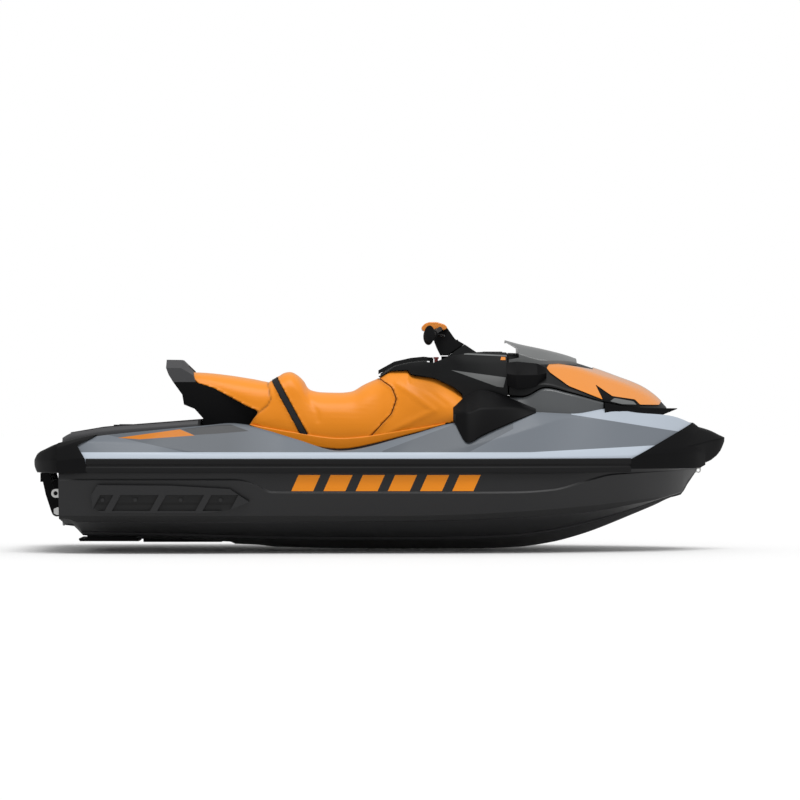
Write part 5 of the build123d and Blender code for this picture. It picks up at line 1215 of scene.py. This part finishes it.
def padded_piece(name, mesh, node, seams, folds, cuts, sizes):
    """A padded piece: an even mesh, drawn in, sewn down along its seams and swollen between them.

    With d the distance in side view to a line, a seam's mark is exp(-(d / reach)^2), and a fold moves the
    surface outwards by height * exp(-(d / width)^2). Faces along a cut stay as they are, and the drawing-in
    grows away from a cut by 1 - exp(-(d / reach)^2).
    """
    mesh = remeshed(mesh, sizes.voxel)
    at, out = spots(mesh), spots(mesh, "normal")
    side = at[:, ::2] / MM
    mark = np.exp(-(near_any(side, seams) / SEAM_REACH)**2) if seams else np.zeros(len(at))
    to_cut = near_any(side, cuts)
    at -= out * (sizes.shrink * (1 - np.exp(-(to_cut / CUT_REACH)**2)) + sizes.seam_depth * mark)[:, None]
    mesh.vertices.foreach_set("co", at.ravel())
    low = side[:, 1] < pedestal_top(side[:, 0]) + HELD_ABOVE_FOOT
    held = (to_cut < HELD_BY_CUT) | low | (mark > HELD_MARK)
    at += calmed(mesh, blown_up(mesh, held, sizes.swell), held)
    for line, width, height in folds:
        at += out * (height * MM * np.exp(-(near_line(side, line) / width)**2))[:, None]
    mesh.vertices.foreach_set("co", at.ravel())
    # Painted shade: the seam mark also darkens the vinyl along each cut, between pieces.
    edge = np.exp(-(to_cut / EDGE_REACH)**2) * EDGE_MARK
    mesh.attributes.new("seam", "FLOAT", "POINT").data.foreach_set("value", np.maximum(mark, edge))
    obj = place(name, mesh, "seat_orange", [node], angle=75)
    smooth = obj.modifiers.new("smooth", "SUBSURF")
    smooth.levels = smooth.render_levels = 1
    return obj


def pedestal_top(x):
    """The height of the pedestal's edge at stations x."""
    return between_rows(DECK, x)[:, -1]


def make_seats(sizes):
    """Passenger seat, driver's seat and knee cover, cut from one form along their seams, and the strap."""
    to_strap, from_strap = strap_line(-STRAP_HALF), strap_line(STRAP_HALF)
    under = slab("under", [(-3000, 100), (-3000, 760), (-940, 760), *REAR_SEAT_UNDER, (-641, 100)])
    to_knee = aft_of([(x - SEAM_GAP, z) for x, z in KNEE_SEAM])
    from_knee = aft_of([(x + SEAM_GAP, z) for x, z in KNEE_SEAM])
    passenger = carved("passenger", saddle_block(), ("keep", aft_of(to_strap)), ("cut", under.copy()))
    driver = carved("driver", saddle_block(), ("keep", to_knee), ("cut", aft_of(from_strap)))
    knee = carved("knee", saddle_block(), ("cut", from_knee), ("cut", room("glove", GLOVE)))
    padded_piece("passenger_seat_cover", passenger, "passenger_seat", [PASSENGER_SEAM], [],
                 [to_strap, REAR_SEAT_UNDER, [(-950, 500), (-950, 700)]], sizes)
    padded_piece("driver_seat_cover", driver, "driver_seat", [], BOLSTER_FOLDS,
                 [from_strap, KNEE_SEAM], sizes)
    padded_piece("knee_cover_pad", knee, "knee_cover", [], KNEE_FOLDS,
                 [KNEE_SEAM, CONSOLE_OUTLINE[:8], [(384, 300), (384, 560)]], sizes)
    make_skirt()
    make_strap()
    base = carved("base", saddle_block(-SEAT_BASE_DEPTH), ("cut", under), ("cut", room("glove", GLOVE)))
    place("seat_base", base, "black_plastic")


def make_skirt():
    """The lower edge of the seats, a thin band that hangs outside the pedestal."""
    x = stations(SKIRT, pitch=18.0)
    drop, lift = between_rows(SKIRT, x).T
    skirt = between_rows(SADDLE, x)[:, 4] + 1.5
    foot = between_rows(DECK, x)[:, -1] + GAP
    section = pairs((skirt - 40, foot - drop), (skirt, foot - drop), (skirt, foot + lift),
                    (skirt - 40, foot + lift))
    port = skin("skirt", x, rounded(section, [1, 6, 6, 1]))
    band = carved("skirt", joined("skirt", port, mirrored(port)),
                  ("cut", deck_block(GAP, UNDER_HULL, -700, 400)))
    place("seat_skirt", band, "seat_orange")


def make_strap():
    """The strap over the seat, wrapped round the saddle in the slot between the two seats."""
    clear = STRAP_HALF - SEAM_GAP
    band = carved("band", saddle_block(), ("keep", aft_of(strap_line(clear))),
                  ("cut", aft_of(strap_line(-clear))), ("cut", saddle_block(-STRAP_THICK)))
    place("strap", band, "strap_webbing", ["seat_strap"])


# Hatch, visor, console and the panels round them

def hood_line(x, grow=0.0):
    """The hatch's outer line at stations x, from the port bottom over to starboard."""
    v = between_rows(HOOD, x)
    half = pairs((v[:, 7], v[:, 8]), (v[:, 5], v[:, 6]), (v[:, 3], v[:, 4]), (v[:, 1], v[:, 2]),
                 (0.0, v[:, 0]))
    line = np.concatenate([half, half[:, 3::-1] * (-1, 1)], axis=1)
    return moved_out(line, grow) if grow else line


def hood_block(grow=0.0, drop=0.0, x_from=None, x_to=None):
    """Everything inside the hatch's outer surface moved outwards by grow, with its foot lowered by drop."""
    x = stations(HOOD, x_from, x_to, 22.0)
    line = hood_line(x, grow)
    radii = HOOD_RADII
    if drop:
        foot = line[:, [0, -1]].copy()
        foot[..., 0] = (between_rows(HOOD, x)[:, 7] + grow)[:, None] * (1, -1)
        first, last = foot[:, :1], foot[:, 1:]
        line = np.concatenate([first - (0, drop), first, line[:, 1:-1], last, last - (0, drop)], axis=1)
        radii = [1, *radii, 1]
    return skin("hood_block", x, rounded(line, radii))


def make_hatch():
    """The front hatch: a shell, open below, with its tongue and pin, its orange panel and its vents."""
    hollow = hood_block(-HOOD_WALL, 80, HOOD[0][0] + HOOD_WALL, HOOD_HOLLOW_END)
    mesh = carved("hood", hood_block(), ("cut", hollow))
    x, z = HINGE
    tongue = block("tongue", HOOD[-1][0] - 16, x, -TONGUE_HALF, TONGUE_HALF, z - HINGE_KNUCKLE_R + 2,
                   z + HINGE_KNUCKLE_R - 2)
    reach = TONGUE_HALF + SWING + HINGE_LUG
    knuckle = across_bar("knuckle", x, z, HINGE_KNUCKLE_R, TONGUE_HALF)
    pin = across_bar("pin", x, z, HINGE_PIN_R, reach)
    place("hood_shell", joined("hood", mesh, tongue, knuckle, pin), "dark_plastic", ["hood"], "hatch", 24)
    panel = carved("panel", hood_block(PANEL_THICK), ("keep", slab("line", PANEL_OUTLINE, radius=6.0)),
                   ("cut", hood_block(GAP)))
    place("hood_panel_skin", panel, "panel_orange", ["hood_panel"], "hatch", 28)
    vents = carved("vents", hood_block(VENT_THICK), ("keep", slab("line", VENT_OUTLINE)),
                   ("cut", hood_block(GAP)))
    place("hood_vent_skin", vents, "black_plastic", ["hood_vents"], "hatch", 28)
    light = carved("light", hood_block(VENT_THICK + VENT_LIGHT_OUT),
                   ("keep", slab("line", VENT_LIGHT, radius=4.0)),
                   ("cut", hood_block(VENT_THICK - VENT_LIGHT_IN)))
    place("hood_vent_light", light, "mid_grey_plastic", (), "hatch", 28, "visor_grey")


def across_bar(name, x, z, radius, half, sides=32):
    """A round bar across the craft."""
    turn = np.linspace(0, 2 * math.pi, sides, endpoint=False)
    return slab(name, np.column_stack([x + radius * np.cos(turn), z + radius * np.sin(turn)]).tolist(), half)


def make_visor():
    """The dark wind visor on the hatch, undercut at its rear."""
    x = stations(VISOR, pitch=16.0)
    crown, shoulder_y, shoulder_z, edge_y, edge_z = between_rows(VISOR, x).T
    half = pairs((0.0, 600.0), (edge_y, 600.0), (edge_y, edge_z), (shoulder_y, shoulder_z), (0.0, crown))
    body = skin("visor", x, rounded(closed_round(half), VISOR_RADII))
    low = slab("low", [(500, 500), (606, 500), (606, 690), (500, 690)])
    mesh = carved("visor", body, ("cut", hood_block(GAP)), ("cut", slab("undercut", VISOR_UNDERCUT)),
                  ("cut", low))
    place("visor_moulding", mesh, "dark_plastic", ["visor"], "hatch", 26, "visor_grey")


def console_block(grow=0.0):
    """The console between the knees, before its openings are made, widened by grow."""
    x = stations(CONSOLE_WIDTHS, pitch=18.0)
    top, waist, foot, shoulder_z = between_rows(CONSOLE_WIDTHS, x).T
    half = pairs((0.0, 290.0), (foot + grow, 290.0), (waist + grow, 520.0), (waist + grow, 590.0),
                 (top + CONSOLE_SHOULDER + grow, shoulder_z), (top + grow, 735.0), (0.0, 735.0))
    body = skin("console", x, rounded(closed_round(half), CONSOLE_RADII))
    return carved("console", body, ("keep", slab("outline", CONSOLE_OUTLINE, radius=8.0)),
                  ("cut", saddle_block()), ("cut", deck_block()))


def make_console():
    """The console, open for glove box and gauge, its trims, two of them painted highlights, and the gasket
    under the glove box lid.
    """
    plain, wider = console_block(), console_block(CONSOLE_TRIM_THICK)
    console = carved("console", plain, ("cut", room("glove", GLOVE)), ("cut", room("gauge", GAUGE)))
    place("console_moulding", console, "dark_plastic", ["console"], angle=26)
    for name, outline, slot, finish in CONSOLE_TRIMS:
        trim = carved(name, wider, ("keep", slab("outline", outline)), ("cut", plain))
        place(name, trim, slot, finish=finish)
    x = stations(LID_GASKET, pitch=18.0)
    low, high, half = between_rows(LID_GASKET, x).T
    inner, outer = (half - edge for edge in GASKET_EDGES)
    gasket = skin("gasket", x, pairs((inner, low), (outer, low), (outer, high), (inner, high)))
    place("lid_gasket", joined("gasket", gasket, mirrored(gasket)), "dark_plastic", finish="visor_grey")


def coaming_block():
    """The panels below the front hatch, open inside, down to the deck."""
    x = stations(COAMING, pitch=18.0)
    foot, top, top_z = between_rows(COAMING, x).T
    half = pairs((0.0, 400.0), (foot, 400.0), (top, top_z - 8), (top - 10, top_z), (0.0, top_z))
    body = skin("coaming", x, rounded(closed_round(half), COAMING_RADII))
    inside = block("inside", COAMING_OPEN_FROM, COAMING[-1][0] + 10, -COAMING_INNER, COAMING_INNER, 300, 700)
    return carved("coaming", body, ("cut", inside), ("cut", deck_block()))


def make_coaming():
    """The coaming, cut out round the console."""
    panels = carved("coaming", coaming_block(), ("cut", console_block()))
    place("coaming_panels", panels, "mid_grey_plastic", ["coaming"], angle=26)


def fairing_block():
    """The port splash guard between console and deck edge."""
    x = stations(FAIRING, pitch=12.0)
    low_z, stand_off, mid_y, mid_z, up_y, up_z = between_rows(FAIRING, x).T
    side = deck_line(x)[:, 1:5]
    low_y = np.array([np.interp(z, row[:, 1], row[:, 0]) for z, row in zip(low_z, side)]) + stand_off
    floor = np.maximum(low_z - 30, 290)
    section = pairs((low_y, low_z), (mid_y, mid_z), (up_y, up_z), (up_y - 30, floor), (low_y - 60, floor))
    return skin("fairing", x, rounded(section, FAIRING_RADII))


def make_fairings():
    """Both splash guards, cut to the pieces round them, and the hatch's seal."""
    mesh = carved("fairing", fairing_block(), ("cut", deck_block()), ("cut", console_block()),
                  ("cut", saddle_block(GAP)), ("cut", coaming_block()))
    place("fairing_left_moulding", mesh, "black_plastic", ["fairing_left"], angle=26)
    place("fairing_right_moulding", mirrored(mesh), "black_plastic", ["fairing_right"], angle=26)

    seal = prism("seal", HATCH_SEAL, COAMING_INNER - SEAL_THICK, COAMING_INNER)
    place("hatch_seal", joined("seal", seal, mirrored(seal)), "bumper_rubber")


def steering_collar():
    """A flat oval disc across the steering axis, between the boot and the turning riser."""
    lean = math.radians(TILT)
    along = np.array(COLLAR_SPAN)[:, None]
    turn = np.linspace(0, 2 * math.pi, COLLAR_SIDES, endpoint=False)
    ahead = COLLAR_AHEAD + COLLAR_HALF[0] * np.cos(turn)
    x = STEER[0] - along * math.sin(lean) + ahead * math.cos(lean)
    z = STEER[1] + along * math.cos(lean) + ahead * math.sin(lean)
    points = np.stack([x, COLLAR_HALF[1] * np.sin(turn) + 0 * along, z], axis=2)
    return new_mesh("collar", points.reshape(-1, 3) * MM, tube_faces(2, COLLAR_SIDES))


def make_controls():
    """Grips that flare towards their ends, the pad over the bar, and the covers at the steering's foot."""
    grip = ovals_across("grip", GRIP)
    place("grips_flared", joined("grips", grip, mirrored(grip)), "grip_rubber", ["grips"], "handlebars", 50)
    pad = place("handlebar_pad_cover", slab("pad", PAD_OUTLINE, PAD_HALF, PAD_CORNERS), "panel_orange",
                ["handlebar_pad"], "handlebars")
    bevelled(pad, PAD_ROUND, 4)
    place("steering_collar", steering_collar(), "black_plastic", (), "handlebars")
    place("cable_cover", slab("cover", CABLE_COVER, CABLE_COVER_HALF), "black_plastic")


# Smaller pieces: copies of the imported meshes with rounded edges

# Nodes by the width of their rounded edges
SOFTENED = {
    1.5: ["seat_support", "grab_handle", "sponson_left", "sponson_right", "boarding_step",
          "steering_boot", "steering_riser", "glove_box_lid", "engine_block", "mirror_left", "mirror_right"],
    0.8: ["platform_mat", "footwell_mats", "accessory_anchors", "lid_lugs", "gauge", "lanyard_post",
          "hood_hinge", "hood_lip", "ride_plate", "intake_grate", "reverse_gate", "step_brackets",
          "stern_eyes", "tow_eye", "bow_eye", "drain_plugs", "storage_bin"],
    0.3: ["glove_box", "pump_housing", "impeller", "driveshaft", "steering_nozzle", "handlebar",
          "throttle_lever", "brake_lever", "mirror_glasses"],
}
BODIES = {"mirror_left": "hatch", "mirror_right": "hatch", "mirror_glasses": "hatch",
          "glove_box_lid": "glove_lid", "boarding_step": "step", "impeller": "rotor", "driveshaft": "rotor",
          "steering_nozzle": "nozzle", "reverse_gate": "gate", "steering_riser": "handlebars",
          "handlebar": "handlebars", "throttle_lever": "handlebars", "brake_lever": "handlebars"}
LOOKS = {"mirror_left": "black_plastic", "mirror_right": "black_plastic", "ride_plate": "black_plastic",
         "intake_grate": "black_plastic", "grab_handle": "platform_grey", "sponson_left": "sponson",
         "sponson_right": "sponson"}  # nodes that wear another finish than their slot's
FACETED = ("mirror_left", "mirror_right")  # these keep their flat facets
TRIMMED = ("hood_lip", "hood_hinge")  # these are cut to LIP_TRIM


def make_softened():
    """Merged copies of the remaining nodes, with their edges rounded."""
    entries = {entry["node"]: entry for entry in frame["record"]["subparts"]}
    for width, nodes in SOFTENED.items():
        for node in nodes:
            copy = frame["nodes"][node].data.copy()
            bm = bmesh.new()
            bm.from_mesh(copy)
            bmesh.ops.remove_doubles(bm, verts=bm.verts, dist=2e-5)
            bmesh.ops.dissolve_limit(bm, angle_limit=math.radians(1.0), verts=bm.verts, edges=bm.edges)
            bm.to_mesh(copy)
            bm.free()
            if node in TRIMMED:
                copy = carved(node, copy, ("cut", slab("trim", LIP_TRIM)))
            obj = place(f"{node}_soft", copy, entries[node]["material_slot"], [node],
                        BODIES.get(node, "craft"), 18 if node in FACETED else 36, LOOKS.get(node))
            bevelled(obj, width)


# Operators

class WATERCRAFT_OT_finishes(bpy.types.Operator):
    """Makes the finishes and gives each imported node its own"""

    bl_idname = "watercraft.finishes"
    bl_label = "Finishes"

    def execute(self, context):
        make_finishes(context.scene.watercraft_colours)
        dress_nodes()
        return {"FINISHED"}


class WATERCRAFT_OT_hull(bpy.types.Operator):
    """Makes the hull, the deck, the bumper, the caps and the swim platform"""

    bl_idname = "watercraft.hull"
    bl_label = "Hull and deck"

    def execute(self, context):
        make_hull()
        make_deck()
        make_bumper()
        make_stern_cap()
        make_bow_cap()
        make_platform()
        return {"FINISHED"}


class WATERCRAFT_OT_seats(bpy.types.Operator):
    """Makes the padded seats, the knee cover and the strap"""

    bl_idname = "watercraft.seats"
    bl_label = "Seats"

    def execute(self, context):
        make_seats(context.scene.watercraft_sizes)
        return {"FINISHED"}


class WATERCRAFT_OT_front(bpy.types.Operator):
    """Makes the hatch, the visor, the console and the panels round them"""

    bl_idname = "watercraft.front"
    bl_label = "Hatch and console"

    def execute(self, context):
        make_hatch()
        make_visor()
        make_console()
        make_coaming()
        make_fairings()
        return {"FINISHED"}


class WATERCRAFT_OT_fittings(bpy.types.Operator):
    """Rounds the edges of the fittings, the controls and the drive"""

    bl_idname = "watercraft.fittings"
    bl_label = "Fittings"

    def execute(self, context):
        make_controls()
        make_softened()
        return {"FINISHED"}


class WATERCRAFT_OT_stage(bpy.types.Operator):
    """Makes the floor, the light, the world and the camera"""

    bl_idname = "watercraft.stage"
    bl_label = "Stage"

    def execute(self, context):
        scene = context.scene
        make_stage(scene, scene.watercraft_sizes, scene.watercraft_colours)
        return {"FINISHED"}


# Studio, in metres and degrees
FLOOR_REACH = 60.0
FLOOR_BOUNCE = 0.8  # how much of its colour the floor throws back on the craft
KEY_FROM, KEY_STRENGTH, KEY_ANGLE = (0.5, -1.6, 4.0), 1.9, 35.0
WORLD_LIGHT, WORLD_SEEN = 0.5, 1.0  # strength of the white world as light, and behind the craft
SENSOR_WIDTH = 36.0  # millimetres


def make_stage(scene, sizes, colours):
    """A pale floor, one large soft sun from the camera's side, a white world, and a long lens at the side."""
    reach, z = FLOOR_REACH, sizes.floor_z
    mesh = bpy.data.meshes.new("floor")
    corners = [(-reach, -reach, z), (reach, -reach, z), (reach, reach, z), (-reach, reach, z)]
    mesh.from_pydata(corners, [], [(0, 1, 2, 3)])
    mesh.materials.append(floor_finish(tuple(colours.floor)))
    linked(mesh, "floor")
    make_world(scene)
    sun_light(scene, "key", KEY_FROM, KEY_STRENGTH, KEY_ANGLE)
    data = bpy.data.cameras.new("camera")
    data.sensor_width = SENSOR_WIDTH
    data.lens = SENSOR_WIDTH * sizes.camera_distance / sizes.view_width
    data.clip_end = 200.0
    camera = bpy.data.objects.new("camera", data)
    camera.location = (sizes.look_x, -sizes.camera_distance, sizes.look_z)
    camera.rotation_euler = (math.radians(90), 0, 0)
    scene.collection.objects.link(camera)
    scene.camera = camera
    scene.view_settings.view_transform = "Standard"


def floor_finish(colour):
    """A pale floor that throws less light back than the camera sees."""
    f = Finish("floor")
    grain = f.noise(30.0, 2.0)
    seen = f.node("ShaderNodeLightPath", {}, {}, output="Is Camera Ray")
    pale = f.mix(grain * 0.02, colour, shade(colour, 0.98))
    return f.done(Base_Color=f.mix(seen, shade(colour, FLOOR_BOUNCE), pale), Roughness=0.9)


def make_world(scene):
    """A white world, brighter to the camera than as light."""
    world = bpy.data.worlds.new("studio")
    scene.world = world
    world.use_nodes = True
    nodes, links = world.node_tree.nodes, world.node_tree.links
    nodes.clear()
    path = nodes.new("ShaderNodeLightPath")
    strength = nodes.new("ShaderNodeMix")
    strength.inputs[2].default_value = WORLD_LIGHT
    strength.inputs[3].default_value = WORLD_SEEN
    links.new(path.outputs["Is Camera Ray"], strength.inputs[0])
    background = nodes.new("ShaderNodeBackground")
    background.inputs[0].default_value = (1, 1, 1, 1)
    links.new(strength.outputs[0], background.inputs[1])
    output = nodes.new("ShaderNodeOutputWorld")
    links.new(background.outputs[0], output.inputs[0])


def sun_light(scene, name, place_at, strength, angle):
    """A large soft light far away in the direction of place_at."""
    data = bpy.data.lights.new(name, "SUN")
    data.angle = math.radians(angle)
    data.energy = strength
    lamp = bpy.data.objects.new(name, data)
    lamp.location = place_at
    lamp.rotation_euler = (-Vector(place_at)).to_track_quat("-Z", "Y").to_euler()
    scene.collection.objects.link(lamp)


class WATERCRAFT_PT_panel(bpy.types.Panel):
    """Lists the craft's sizes, colours and steps"""

    bl_idname = "WATERCRAFT_PT_panel"
    bl_label = "Watercraft"
    bl_space_type = "VIEW_3D"
    bl_region_type = "UI"
    bl_category = "Watercraft"

    def draw(self, context):
        for group in (context.scene.watercraft_sizes, context.scene.watercraft_colours):
            for key in group.__annotations__:
                self.layout.prop(group, key)
        for step in STEPS:
            self.layout.operator(step.bl_idname)


STEPS = (WATERCRAFT_OT_finishes, WATERCRAFT_OT_hull, WATERCRAFT_OT_seats, WATERCRAFT_OT_front,
         WATERCRAFT_OT_fittings, WATERCRAFT_OT_stage)
CLASSES = (WatercraftColours, WatercraftSizes, *STEPS, WATERCRAFT_PT_panel)


def register():
    """Makes the classes known and gives the scene its sizes and colours."""
    for entry in CLASSES:
        bpy.utils.register_class(entry)
    bpy.types.Scene.watercraft_colours = bpy.props.PointerProperty(type=WatercraftColours)
    bpy.types.Scene.watercraft_sizes = bpy.props.PointerProperty(type=WatercraftSizes)


def unregister():
    """Undoes register."""
    del bpy.types.Scene.watercraft_sizes
    del bpy.types.Scene.watercraft_colours
    for entry in reversed(CLASSES):
        bpy.utils.unregister_class(entry)


def main():
    """Runs the steps in order."""
    register()
    bpy.ops.watercraft.finishes()
    bpy.ops.watercraft.hull()
    bpy.ops.watercraft.seats()
    bpy.ops.watercraft.front()
    bpy.ops.watercraft.fittings()
    bpy.ops.watercraft.stage()


if __name__ == "__main__":
    main()
